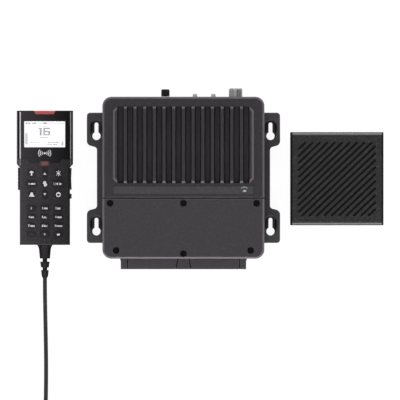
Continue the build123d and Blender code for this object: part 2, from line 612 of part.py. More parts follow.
def rear_shell():
    """The handset's back housing, with ear grille slots and a hang-up button."""
    shell = rear_length(HS_HALF, HS_STEP_LOW, HS_END) + rear_length(HS_HALF_LOW, -HS_END, HS_STEP_TOP)
    shell = shell & handset_outline(0, 0, HS_SPLIT) & side_limits(4, 24)
    shell -= handset_outline(4.2, HS_WALL, HS_SPLIT + 1)
    for x in (-17, 17):
        for y in (-55, 30):
            shell += rod(2.5, HS_WALL - 0.5, 13.8, (HX + x, y))
    for x, y in SHELL_SCREWS:
        shell += rod(4.0, HS_WALL - 0.5, HS_SPLIT, (HX + x, y))
    for x, y in SHELL_SCREWS:
        shell -= rod(3.1, -1, 2.8, (HX + x, y))
        shell -= rod(1.6, 0, HS_SPLIT + 1, (HX + x, y))
    for i in range(7):
        shell -= slab(26 - 1.5 * abs(i - 3) ** 1.5, 1.8, -1, HS_WALL + 1, 0.8, (HX, 40 + 4.2 * (i - 3)))
    return shell


def shell_screws():
    """Four screws that join the handset's shells from the back."""
    screws = []
    for x, y in SHELL_SCREWS:
        head = rod(2.8, 0.6, 2.6, (HX + x, y))
        cross = span((HX + x - 1.8, HX + x + 1.8), (y - 0.4, y + 0.4), (0, 1.6))
        cross += span((HX + x - 0.4, HX + x + 0.4), (y - 1.8, y + 1.8), (0, 1.6))
        screws.append(head + rod(1.5, 2.5, SCREW_TIP, (HX + x, y)) - cross)
    return Compound(children=screws)


def audio_capsules():
    """The earpiece behind the back grille and the microphone under the face."""
    earpiece = chamfer(rod(13.0, HS_WALL + 0.4, 10.5, (HX, 40)).edges(), 0.6)
    microphone = rod(3.0, 15.4, 20.0, (HX, -73.0))
    return Compound(children=[earpiece, microphone])


def talk_bar():
    """The ribbed press-to-talk bar on the left side."""
    low, high = HX - HS_HALF_LOW - SIDE_PROUD, HX - 27.6
    y = (PTT_Y - SIDE_BAR_LEN / 2, PTT_Y + SIDE_BAR_LEN / 2)
    bar = span((low, high), y, SIDE_Z)
    bar = chamfer(bar.faces().sort_by(Axis.X)[0].edges(), 0.7)
    for i in range(6):
        groove_y = PTT_Y + (i - 2.5) * 4.2
        bar -= prism([(low - 1, groove_y - 1.2), (low + 0.55, groove_y), (low - 1, groove_y + 1.2)],
                     SIDE_Z[0] - 1, 10, "Z")
    lip = span((HX - 27.0, HX - 26.0), (y[0] - 1.2, y[1] + 1.2), (SIDE_Z[0] - 0.8, SIDE_Z[1] + 1.0))
    return bar + lip + span((high - 0.1, HX - 26.9), y, SIDE_Z)


def volume_rocker():
    """The volume rocker on the right side, turning on its upright barrel."""
    high = HX + HS_HALF_LOW + SIDE_PROUD - 0.1
    y0, y1 = PTT_Y - SIDE_BAR_LEN / 2, PTT_Y + SIDE_BAR_LEN / 2
    outline = [(HX + 28.4, y0 + 0.4), (high, y0 + 0.4), (high - 0.5, PTT_Y), (high, y1 - 0.4),
               (HX + 28.4, y1 - 0.4)]
    rocker = prism(outline, SIDE_Z[0], SIDE_Z[1] - SIDE_Z[0], "Z")
    barrel = rod(2.0, *SIDE_Z, (HX + ROCKER_AT, PTT_Y))
    return rocker + barrel - rod(ROCKER_PIN_R + 0.05, 0, 40, (HX + ROCKER_AT, PTT_Y))


def power_button():
    """The small ridged button below the rocker."""
    high = HX + HS_HALF_LOW + SIDE_PROUD - 0.1
    y = (POWER_Y - POWER_LEN / 2, POWER_Y + POWER_LEN / 2)
    button = chamfer(span((HX + 27.4, high), y, SIDE_Z).faces().sort_by(Axis.X)[-1].edges(), 0.6)
    groove = prism([(high + 1, POWER_Y - 0.9), (high - 0.7, POWER_Y), (high + 1, POWER_Y + 0.9)],
                   SIDE_Z[0] - 1, 10, "Z")
    lip = span((HX + 26.4, HX + 27.4), (y[0] - 1, y[1] + 1), (SIDE_Z[0] - 0.8, SIDE_Z[1] + 1.0))
    return button - groove + lip


def distress_flap():
    """The red hinged flap over the distress button."""
    outer = handset_front_blank() & flap_space(0, HS_SPLIT)
    outer = outer & span((HX - 20, HX + 20), (70, HS_END), (HINGE_Z, 40))
    taper = (FLAP_TOP_HALF - FLAP_LOW_HALF) / (HS_END + 1 - FLAP_LOW_Y)
    near, far = FLAP_LOW_Y - 4, HS_END - FLAP_T
    half = [FLAP_LOW_HALF - FLAP_WALL + taper * (y - FLAP_LOW_Y) for y in (near, far)]
    inside = prism([(HX - half[0], near), (HX + half[0], near), (HX + half[1], far), (HX - half[1], far)],
                   10, crown(0) - FLAP_T - 10, "Z")
    place = Pos(HX, HINGE_Y, HINGE_Z) * Rot(0, 90, 0)
    barrel = place * Cylinder(HINGE_R, 2 * half[1] + 1)
    stubs = place * Cylinder(HINGE_PIN_R, 2 * HINGE_PIN_END)
    return outer - inside + barrel + stubs


def distress_button():
    """The round distress button under the flap, with its shaft and the collar that holds it in."""
    wall_in, wall_out = FLAP_LOW_Y - 2.0, FLAP_LOW_Y - 0.3
    face = chamfer(rod_y(BUTTON_R, wall_out + 1.2, HS_END - FLAP_T - 0.3, HX, BUTTON_Z).edges(), 0.4)
    shaft = rod_y(BUTTON_SHAFT_R, wall_in - 1.0, wall_out + 1.3, HX, BUTTON_Z)
    return face + shaft + rod_y(BUTTON_R, wall_in - 1.4, wall_in - 0.3, HX, BUTTON_Z)


def strain_relief():
    """The segmented rubber bend relief where the cord leaves the handset."""
    end = -HS_END
    place = Pos(HX, end, GLAND_Z) * Rot(90, 0, 0)
    steps = [(9.7, 0), (8.6, 1.2), (7.7, 3.0), (7.2, 5.2), (6.1, 16.4), (2.8, 16.4), (2.8, 20.2), (5.7, 20.2),
             (4.7, 27.2), (2.8, 27.2), (2.8, 30.4), (4.7, 30.4), (3.8, 37.6), (2.7, -GLAND_END + end)]
    return turned([(0, 0), *steps, (0, steps[-1][1])], place)


# ---------------------------------------------------------------- cord
def corner_radii(points):
    """For each inner point, the radius that its two runs allow."""
    radii = []
    for a, b, c in zip(points, points[1:], points[2:]):
        before, after = Vector(*b) - Vector(*a), Vector(*c) - Vector(*b)
        turn = radians(before.get_angle(after))
        radii.append(0.45 * min(before.length, after.length) / tan(turn / 2))
    return radii


def cord_tube(points):
    """A tube along straight runs joined by tangent arcs."""
    radii = corner_radii(points)
    print("cord radii", [round(r, 1) for r in radii])
    path = FilletPolyline(*points, radius=radii)
    section = Plane(path @ 0, z_dir=path % 0) * Circle(CORD_R)
    tube = sweep(section, path)
    print("cord volume over section times length", round(tube.volume / (pi * CORD_R**2 * path.length), 4))
    return tube


def tail_points():
    """The cord's last stretch: level off the coil, up to the plug's height, and level into the plug."""
    a = radians(TAIL_TURN)
    r = COIL_R + COIL_HALF - CORD_R
    x, y = COIL_AT[0] + r * cos(a), COIL_AT[1] + r * sin(a)
    steps = zip(TAIL_STEPS, (CORD_R, CORD_R, PLUG_Z, PLUG_Z))
    return [(x - t * sin(a), y + t * cos(a), z) for t, z in steps]


def cord_run():
    """The cord from the strain relief to the coil, and the short tail from the coil to the plug."""
    return Compound(children=[cord_tube(CORD_ROUTE), cord_tube(tail_points())])


def cord_coil():
    """The outer shape of the tied coil that stores the spare cord."""
    section = Pos(COIL_R, COIL_HALF) * RectangleRounded(2 * COIL_HALF, 2 * COIL_HALF, 4.5)
    ring = revolve(Plane.XZ * section, Axis.Z)
    return Pos(COIL_AT[0], COIL_AT[1], 0) * ring


def cord_plug():
    """The round multi-pin plug on the cord's far end, with its boot and coupling ring."""
    place = Pos(*tail_points()[-1]) * Rot(0, 0, TAIL_TURN + 90) * Rot(0, 90, 0)
    body = turned([(0, 0), (3.6, 0), (4.6, 12), (5.6, 14), (6.2, 24), (PLUG_R, 25), (PLUG_R, 38),
                   (5.9, 38.6), (5.4, 38.6), (5.4, 30), (0, 30)], place)
    angles = [2 * pi * k / PLUG_PINS for k in range(PLUG_PINS)]
    pins = [place * rod(0.6, 30, 36.5, (3.2 * cos(a), 3.2 * sin(a))) for a in angles]
    return Compound(children=[body] + pins)


# ---------------------------------------------------------------- speaker
def grille_slots():
    """Oblique slots, cut off with round ends at a rectangle."""
    a = radians(SLOT_ANGLE)
    reach = SLOT_HALF_X * sin(a) + SLOT_HALF_Y * cos(a)
    count = int(reach / SLOT_PITCH + 0.5)
    slots = []
    for i in range(-count, count):
        off = (i + 0.5) * SLOT_PITCH
        ends = []
        for limit_x in (-SLOT_HALF_X, SLOT_HALF_X):
            t = (limit_x + off * sin(a)) / cos(a)
            if abs(off * cos(a) + t * sin(a)) <= SLOT_HALF_Y:
                ends.append(t)
        for limit_y in (-SLOT_HALF_Y, SLOT_HALF_Y):
            t = (limit_y - off * cos(a)) / sin(a)
            if abs(t * cos(a) - off * sin(a)) < SLOT_HALF_X:
                ends.append(t)
        t0, t1 = min(ends), max(ends)
        if t1 - t0 < 2.2 * SLOT_W:
            continue
        middle, length = (t0 + t1) / 2, t1 - t0
        x = SX + SLOT_SHIFT[0] - off * sin(a) + middle * cos(a)
        y = SY + SLOT_SHIFT[1] + off * cos(a) + middle * sin(a)
        place = Pos(x, y, SP_TOP - 8)
        slots.append(place * Rot(0, 0, SLOT_ANGLE) * extrude(SlotOverall(length, SLOT_W), 16))
    return slots


def speaker_grille():
    """The slotted front, bent down along its top and bottom edges."""
    half_w, half_h = GRILLE_W / 2, GRILLE_H / 2
    front = span((SX - half_w, SX + half_w), (SY - half_h, SY + half_h), (SP_SPLIT, SP_TOP))
    bends = front.edges().filter_by(Axis.X).group_by(Axis.Z)[-1]
    front = fillet(bends, SP_BEND_R)
    sides = front.faces().filter_by(Axis.X)
    front = chamfer([e for f in sides for e in f.edges() if e.center().Z > SP_SPLIT + 0.1], 1.2)
    inner = 2 * (half_w - SP_WALL)
    front -= slab(inner, inner, SP_SPLIT - 1, SP_TOP - 5, 2, (SX, SY))
    front -= slab(inner - 4, inner - 4, SP_SPLIT - 1, SP_TOP - SP_WALL, 2, (SX, SY))
    for slot in grille_slots():
        front -= slot
    for sx in (-1, 1):
        for sy in (-1, 1):
            notch = extrude(SlotOverall(6.6, 1.6), 3)
            front -= Pos(SX + sx * 37.0, SY + sy * 49.6, SP_TOP - 0.7) * Rot(0, 0, -sx * sy * 37) * notch
    return front


def speaker_housing():
    """The rear bucket, with blind mounting holes and a flush, closed cable outlet."""
    half = SP_SIZE / 2
    shape = slab(2 * half, 2 * half, 0, SP_SPLIT, at=(SX, SY))
    shape = chamfer(shape.faces().sort_by(Axis.Z)[0].edges(), 3.0)
    shape = fillet(shape.edges().filter_by(Axis.Z), SP_CORNER_R)
    shape -= slab(2 * half - 8, 2 * half - 8, 3, SP_SPLIT + 1, 3, (SX, SY))
    spots = [(SX + a * SP_HOLE_SPACING / 2, SY + b * SP_HOLE_SPACING / 2) for a in (-1, 1) for b in (-1, 1)]
    for spot in spots:
        shape += rod(5.0, 2, 14, spot)
    for spot in spots:
        shape -= rod(SP_HOLE_R, -1, 10, spot)
    recess = rod_y(4.5, SY - half - 1, SY - half + 1.2, SX, 12) - rod_y(3.2, SY - half, SY - half + 2, SX, 12)
    return shape - recess


def driver_basket():
    """The pressed frame of the loudspeaker, with four windows."""
    place = Pos(SX, SY, 0)
    frame = turned([(42.5, 32.2), (48.5, 32.2), (48.5, 34.4), (41.0, 34.4), (39.0, 30.0), (22.0, 17.0),
                    (11.0, 17.0), (11.0, 15.2), (23.0, 15.2), (40.5, 28.5)], place)
    for k in range(4):
        frame -= place * Rot(0, 0, 45 + 90 * k) * Pos(31, 0, 22) * Box(10, 22, 16)
    return frame


def driver_magnet():
    """The ring magnet with its back plate and pole."""
    plate = turned([(0, 5.0), (23, 5.0), (23, 15.2), (11.2, 15.2), (11.2, 8.0), (9.0, 8.0), (9.0, 16.5),
                    (0, 16.5)], Pos(SX, SY, 0))
    return plate


def driver_cone():
    """The cone with its roll surround, dust cap and voice-coil former, which move together."""
    place = Pos(SX, SY, 0)
    former = turned([(9.6, 10.5), (10.2, 10.5), (10.2, 20.2), (9.6, 20.2)], place)
    cone = turned([(9.6, 19.6), (33.0, 32.6), (34.2, 34.2), (35.9, 34.9), (37.4, 34.2), (38.3, 33.1),
                   (38.9, 33.4), (37.8, 35.3), (35.9, 36.0), (33.6, 35.3), (32.2, 33.4), (9.6, 20.8)], place)
    cap = turned([(9.6, 20.6), (12.0, 21.9), (9.0, 23.6), (5.0, 24.8), (0, 25.2), (0, 24.4), (5.0, 24.0),
                  (9.6, 22.4)], place)
    return former + cone + cap


# ---------------------------------------------------------------- output
NODES = {
    "chassis": chassis,
    "heatsink_cover": heatsink_cover,
    "wiring_cover": wiring_cover,
    "cover_screws": cover_screws,
    "cover_gasket": cover_gasket,
    "main_board": main_board,
    "rf_shield": rf_shield,
    "terminal_block": terminal_block,
    "gland_strips": gland_strips,
    "clamp_plates": clamp_plates,
    "antenna_socket": antenna_socket,
    "antenna_insulator": antenna_insulator,
    "aux_socket": aux_socket,
    "port_cap": port_cap,
    "earth_screws": earth_screws,
    "status_lens": status_lens,
    "front_shell": front_shell,
    "rear_shell": rear_shell,
    "display_bezel": display_bezel,
    "display_window": display_window,
    "lcd_module": lcd_module,
    "handset_board": handset_board,
    "audio_capsules": audio_capsules,
    "shell_screws": shell_screws,
    "strain_relief": strain_relief,
    "talk_bar": talk_bar,
    "volume_rocker": volume_rocker,
    "power_button": power_button,
    "distress_flap": distress_flap,
    "distress_button": distress_button,
    "cord_run": cord_run,
    "cord_coil": cord_coil,
    "cord_plug": cord_plug,
    "speaker_grille": speaker_grille,
    "speaker_housing": speaker_housing,
    "driver_basket": driver_basket,
    "driver_magnet": driver_magnet,
    "driver_cone": driver_cone,
}


def main():
    """Writes one STEP file for each piece."""
    os.makedirs("parts", exist_ok=True)
    for name, build in NODES.items():
        export_step(build(), f"parts/{name}.step")
    for name, x, y, size in key_table():
        export_step(key_cap(x, y, size), f"parts/{name}.step")


main()
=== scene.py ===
"""Marine VHF radio set: finishes, printing, cord and studio, laid out as an add-on and run as a script.

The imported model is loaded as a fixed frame. Every length is in metres. +X points at the speaker,
+Y at the antenna socket and +Z out of the front faces.
"""

import json
import math

import bpy
from bpy.props import FloatProperty, FloatVectorProperty, IntProperty, PointerProperty
from bpy.types import Operator, Panel, PropertyGroup
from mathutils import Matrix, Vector


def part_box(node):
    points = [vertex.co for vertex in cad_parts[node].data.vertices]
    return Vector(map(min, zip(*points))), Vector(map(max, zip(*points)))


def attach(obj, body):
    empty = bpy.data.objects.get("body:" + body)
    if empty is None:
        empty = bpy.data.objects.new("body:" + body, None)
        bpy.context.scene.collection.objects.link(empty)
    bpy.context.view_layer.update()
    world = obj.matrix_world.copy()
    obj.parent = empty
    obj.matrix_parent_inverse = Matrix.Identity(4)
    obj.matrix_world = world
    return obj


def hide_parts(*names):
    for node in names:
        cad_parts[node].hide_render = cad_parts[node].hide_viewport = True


bl_info = {
    "name": "Marine VHF radio set",
    "version": (1, 0, 0),
    "blender": (4, 5, 0),
    "location": "3D View > Sidebar > Radio",
    "description": "Dresses the packed radio set with finishes, printing, a cord and a studio",
    "category": "Object",
}

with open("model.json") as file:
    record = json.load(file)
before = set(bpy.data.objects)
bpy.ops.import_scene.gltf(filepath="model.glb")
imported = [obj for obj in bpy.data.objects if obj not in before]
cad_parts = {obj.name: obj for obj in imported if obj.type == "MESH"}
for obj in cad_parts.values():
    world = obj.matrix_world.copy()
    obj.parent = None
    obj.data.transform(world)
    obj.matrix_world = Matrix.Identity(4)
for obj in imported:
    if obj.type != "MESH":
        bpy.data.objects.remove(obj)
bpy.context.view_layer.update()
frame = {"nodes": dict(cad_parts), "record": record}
MM = 0.001

SLOT_OF = {part["node"]: part["material_slot"] for part in frame["record"]["subparts"]}
TINT_OF = {m["slot"]: tuple(m["base_color"][:3]) for m in frame["record"]["materials"]}
HANDSET_SIDES = (-200.0 * MM, -133.0 * MM)
BEZEL_SIDES = (-200.0 * MM, -138.0 * MM)


# ---------------------------------------------------------------- settings
def length(name, description, default):
    """A size that a user may change."""
    return FloatProperty(name=name, description=description, default=default, unit="LENGTH", precision=5)


def tint(name, description, default):
    """A colour that a user may change."""
    return FloatVectorProperty(name=name, description=description, default=default, subtype="COLOR", size=3,
                               min=0.0, max=1.0)


class RadioTints(PropertyGroup):
    """Base colours of the set's finishes."""

    paint: tint("Powder coat", "Colour of the die-cast box", (0.0178, 0.0160, 0.0180))
    moulding: tint("Handset moulding", "Colour of the handset's shells", (0.0400, 0.0360, 0.0405))
    speaker: tint("Speaker moulding", "Colour of the speaker's front", (0.0083, 0.0076, 0.0082))
    key: tint("Key rubber", "Colour of the dark keys", (0.0265, 0.0243, 0.0270))
    distress: tint("Distress red", "Colour of the flap and the button under it", (0.38, 0.075, 0.071))
    print_white: tint("Printing", "Colour of the key legends", (0.64, 0.64, 0.655))
    display: tint("Display", "Colour of the lit display", (0.95, 0.95, 0.97))
    ink: tint("Display ink", "Colour of the figures on the display", (0.35, 0.35, 0.36))
    lamp: tint("Lamp", "Colour of the lit power lamp", (0.16, 0.24, 0.18))


class RadioPrinting(PropertyGroup):
    """Sizes of the printed and laid-on details."""

    digit: length("Digit size", "Type size of the keypad's digits", 3.7 * MM)
    letters: length("Letter size", "Type size of the keypad's letters", 2.4 * MM)
    bold: length("Boldness", "How far each stroke of the keypad's type is widened", 0.20 * MM)
    thickness: length("Print thickness", "How far the printing stands on a key", 0.06 * MM)
    film_x: length("Label film half width", "Half the width of the film under the ribs", 83.4 * MM)
    film_y: length("Label film middle", "Where the middle of the film is", -14.8 * MM)
    film_h: length("Label film height", "Height of the film", 8.8 * MM)
    film_t: length("Label film thickness", "How far the film stands on the cover", 0.16 * MM)
    # The light strips along the bezel's sides are painted highlights for the shine on its shoulders.
    line_left: length("Left bezel line", "Distance of the left line from the handset's middle", 29.4 * MM)
    line_right: length("Right bezel line", "Distance of the right line from the handset's middle", 31.2 * MM)
    line_wide: length("Bezel line width", "Width of both lines", 1.35 * MM)
    line_top: length("Bezel line top", "Where both lines start", 79.0 * MM)
    line_end: length("Bezel line end", "Where both lines go over to the shell's", 23.0 * MM)
    line_low: length("Shell line end", "Where both lines stop", 14.6 * MM)
    wave_y: length("Wave sign", "Where the radio-wave sign's middle is", 29.6 * MM)


class RadioThread(PropertyGroup):
    """Sizes of the antenna socket's outside thread."""

    x: length("Thread X", "Where the socket's axis is", 62.7 * MM)
    z: length("Thread height", "Height of the socket's axis", 22.0 * MM)
    start: length("Thread start", "Where the thread starts", 97.6 * MM)
    root: length("Root radius", "Radius at the bottom of the thread", 7.9 * MM)
    crest: length("Crest radius", "Radius at the top of the thread", 8.2 * MM)
    pitch: length("Thread pitch", "Distance from crest to crest", 1.06 * MM)
    turns: IntProperty(name="Thread turns", description="Number of crests", default=8, min=1)


class RadioSpeaker(PropertyGroup):
    """Sizes of the speaker's cloth."""

    scrim: length("Scrim width", "Side of the square cloth behind the slots", 99.6 * MM)
    scrim_z: length("Scrim height", "Height of the cloth's back", 39.0 * MM)


class RadioCord(PropertyGroup):
    """Sizes of the handset's cord and its stored coil."""

    diameter: length("Cord diameter", "Outside diameter of the jacket", 5.0 * MM)
    coil_x: length("Coil middle X", "Where the stored coil's middle is", -134.95 * MM)
    coil_y: length("Coil middle Y", "Where the stored coil's middle is", -311.0 * MM)
    coil_r: length("Coil radius", "Radius of the coil's middle layer", 28.5 * MM)
    steps: IntProperty(name="Points a turn", description="Control points in one turn", default=24, min=12)
    tie: length("Tie width", "Width of the strap round the coil", 9.0 * MM)


class RadioStage(PropertyGroup):
    """Camera, floor and lamps."""

    camera_x: length("Camera X", "Where the camera hangs", 19.9 * MM)
    camera_y: length("Camera Y", "Where the camera hangs", -26.7 * MM)
    camera_z: length("Camera height", "Height of the camera over the floor", 10.0)
    lens: FloatProperty(name="Focal length", description="Lens in millimetres", default=747.0, min=50.0)
    floor: length("Floor width", "Side of the square floor", 30.0)
    sky: FloatProperty(name="Sky", description="Strength of the even sky light", default=0.02, min=0.0)
    high: FloatProperty(name="High lamp", description="Watts of the lamp near the camera", default=21.0)
    low: FloatProperty(name="Low lamps", description="Watts of each low lamp", default=52.0)


# ---------------------------------------------------------------- node helpers
def feed(tree, socket, value):
    """Joins another node's output to the socket, or sets a plain value."""
    if isinstance(value, bpy.types.NodeSocket):
        tree.links.new(value, socket)
    else:
        socket.default_value = value


def add(tree, kind, inputs=(), **settings):
    """A new node with its settings, and its inputs set or joined by name or number."""
    node = tree.nodes.new(kind)
    for key, value in settings.items():
        setattr(node, key, value)
    for key, value in dict(inputs).items():
        feed(tree, node.inputs[key], value)
    return node


def wired(tree, node, **values):
    """Joins each value to the node's input of that name."""
    for key, value in values.items():
        tree.links.new(value, node.inputs[key.replace("_", " ")])


def colour(rgb):
    """A colour with full alpha."""
    return (*tuple(rgb)[:3], 1.0)


def mixed(tree, share, a, b):
    """The colour a, going over to b by share."""
    return add(tree, "ShaderNodeMix", {0: share, 6: a, 7: b}, data_type="RGBA").outputs[2]


def maths(tree, operation, *values, clamp=False):
    """One Math node's output."""
    return add(tree, "ShaderNodeMath", enumerate(values), operation=operation, use_clamp=clamp).outputs[0]


def ranged(tree, value, low, high, to_low=0.0, to_high=1.0):
    """A value moved from one range to another, held at its ends."""
    inputs = {"Value": value, "From Min": low, "From Max": high, "To Min": to_low, "To Max": to_high}
    return add(tree, "ShaderNodeMapRange", inputs).outputs["Result"]


def own_place(tree):
    """The point in the piece's own coordinates."""
    return add(tree, "ShaderNodeTexCoord").outputs["Object"]


def axes(tree, vector):
    """The X, Y and Z of a vector."""
    return add(tree, "ShaderNodeSeparateXYZ", {0: vector}).outputs


def facing(tree):
    """The X, Y and Z of the direction that the surface faces."""
    return axes(tree, add(tree, "ShaderNodeNewGeometry").outputs["Normal"])


def looked_at(tree):
    """1 where the camera, a mirror or glass looks, and 0 where light is gathered."""
    path = add(tree, "ShaderNodeLightPath").outputs
    seen = maths(tree, "MAXIMUM", path["Is Camera Ray"], path["Is Glossy Ray"])
    return maths(tree, "MAXIMUM", seen, path["Is Transmission Ray"])


def effect(name, inputs, outputs):
    """A shader node group with these named values in and out."""
    tree = bpy.data.node_groups.new(name, "ShaderNodeTree")
    for key, default in inputs.items():
        socket = tree.interface.new_socket(key, in_out="INPUT", socket_type="NodeSocketFloat")
        socket.default_value = default
    for key in outputs:
        tree.interface.new_socket(key, in_out="OUTPUT", socket_type="NodeSocketFloat")
    return tree, tree.nodes.new("NodeGroupInput"), tree.nodes.new("NodeGroupOutput")


def placed(tree, group, **inputs):
    """An effect placed in a material, with its own values."""
    node = tree.nodes.new("ShaderNodeGroup")
    node.node_tree = bpy.data.node_groups[group]
    for key, value in inputs.items():
        node.inputs[key.replace("_", " ")].default_value = value
    return node


def noise(tree, vector, scale, detail=2.0, roughness=0.5):
    """Noise on a vector."""
    inputs = {"Vector": vector, "Scale": scale, "Detail": detail, "Roughness": roughness}
    return add(tree, "ShaderNodeTexNoise", inputs).outputs["Fac"]


# ---------------------------------------------------------------- shared effects
def build_grain():
    """Fine bumps and a slow drift of tone, as on powder coat and spark-eroded mouldings."""
    tree, given, out = effect("surface_grain", {"Grains per metre": 1400.0, "Drift per metre": 22.0},
                              ("Height", "Tone"))
    place = own_place(tree)
    fine = noise(tree, place, given.outputs["Grains per metre"], 3.0, 0.6)
    slow = noise(tree, place, given.outputs["Drift per metre"], 4.0, 0.55)
    wired(tree, out, Height=fine, Tone=ranged(tree, slow, 0.3, 0.7))


def build_edge_wear_and_shading():
    """A mask along convex edges, broken up by noise: edge abrasion, which also carries a painted highlight on
    the powder coats and painted shade on the keys.
    """
    tree, given, out = effect("edge_wear_and_shading", {"Reach": 0.0006, "Breakup per metre": 260.0}, ("Edge",))
    soft = add(tree, "ShaderNodeBevel", {"Radius": given.outputs["Reach"]}, samples=4)
    sharp = add(tree, "ShaderNodeNewGeometry")
    dot = add(tree, "ShaderNodeVectorMath", {0: soft.outputs["Normal"], 1: sharp.outputs["Normal"]},
              operation="DOT_PRODUCT")
    bend = ranged(tree, dot.outputs["Value"], 0.995, 0.86)
    place = own_place(tree)
    patch = ranged(tree, noise(tree, place, given.outputs["Breakup per metre"], 4.0, 0.7), 0.42, 0.66)
    wired(tree, out, Edge=maths(tree, "MULTIPLY", bend, patch))


def build_dust_and_top_highlight():
    """A mask of thin dust on the front faces, and a mask of the faces that tilt towards +Y, where a highlight
    is painted.
    """
    tree, given, out = effect("dust_and_top_highlight", {"Specks per metre": 420.0, "Amount": 0.3}, ("Dust", "Ledge"))
    up = facing(tree)
    level = ranged(tree, up["Z"], 0.55, 1.0)
    place = own_place(tree)
    specks = ranged(tree, noise(tree, place, given.outputs["Specks per metre"], 5.0, 0.7), 0.5, 0.75)
    both = maths(tree, "MULTIPLY", level, specks)
    wired(tree, out, Dust=maths(tree, "MULTIPLY", both, given.outputs["Amount"]),
          Ledge=ranged(tree, up["Y"], 0.25, 0.45))


def build_tool_marks():
    """Fine lines, long across Y where Around is low and long along Y where Along is low."""
    tree, given, out = effect("tool_marks", {"Lines per metre": 2600.0, "Around": 0.05, "Along": 1.0},
                              ("Lines",))
    place = axes(tree, own_place(tree))
    drawn = add(tree, "ShaderNodeCombineXYZ", {
        axis: maths(tree, "MULTIPLY", place[axis], given.outputs["Along" if axis == "Y" else "Around"])
        for axis in "XYZ"
    })
    wired(tree, out, Lines=noise(tree, drawn.outputs[0], given.outputs["Lines per metre"], 2.0))


def build_painted_facing_light():
    """Masks of level faces that lie below a height, of upright faces and of bevels, where light and shade are
    painted by which way a face looks and how low it lies.
    """
    tree, given, out = effect("painted_facing_light", {"Full below": 0.046, "None above": 0.0495},
                              ("Low", "Steep", "Slope"))
    up = facing(tree)
    height = axes(tree, own_place(tree))["Z"]
    low = ranged(tree, height, given.outputs["None above"], given.outputs["Full below"])
    level = ranged(tree, up["Z"], 0.85, 0.97)
    upright_light_and_shade = ranged(tree, up["Z"], 0.93, 0.80)
    bevel_highlight = maths(tree, "MULTIPLY", upright_light_and_shade, ranged(tree, up["Z"], 0.35, 0.6))
    wired(tree, out, Low=maths(tree, "MULTIPLY", low, level), Steep=upright_light_and_shade, Slope=bevel_highlight)


def build_painted_sideways_shade():
    """A value that goes from 1 to 0 across the object in X, for shade painted in towards one side."""
    tree, given, out = effect("painted_sideways_shade", {"Start": 0.0, "End": 0.1}, ("Share",))
    across = axes(tree, own_place(tree))["X"]
    share = ranged(tree, across, given.outputs["Start"], given.outputs["End"], 1.0, 0.0)
    wired(tree, out, Share=share)


# ---------------------------------------------------------------- materials
def new_finish(name, **constants):
    """A material with its tree and its shader, the constants set on the shader's own sockets."""
    material = bpy.data.materials.new(name)
    material.use_nodes = True
    tree = material.node_tree
    shader = tree.nodes["Principled BSDF"]
    for key, value in constants.items():
        shader.inputs[key.replace("_", " ")].default_value = value
    return material, tree, shader


def bumped(tree, shader, height, strength, depth):
    """A bump of this real depth in metres."""
    bump = add(tree, "ShaderNodeBump", {"Height": height, "Strength": strength, "Distance": depth})
    wired(tree, shader, Normal=bump.outputs["Normal"])


DUST = (0.30, 0.29, 0.28, 1.0)
# Tone of the painted highlight on faces that tilt towards +Y.
TOP_HIGHLIGHT_TONE = (0.29, 0.28, 0.29, 1.0)
# Tone of the painted shade bands, as a share of the base.
SHADE_BAND_TONE = 0.2


def toned(base, share):
    """The base colour at a share of its strength."""
    return colour([c * share for c in base])


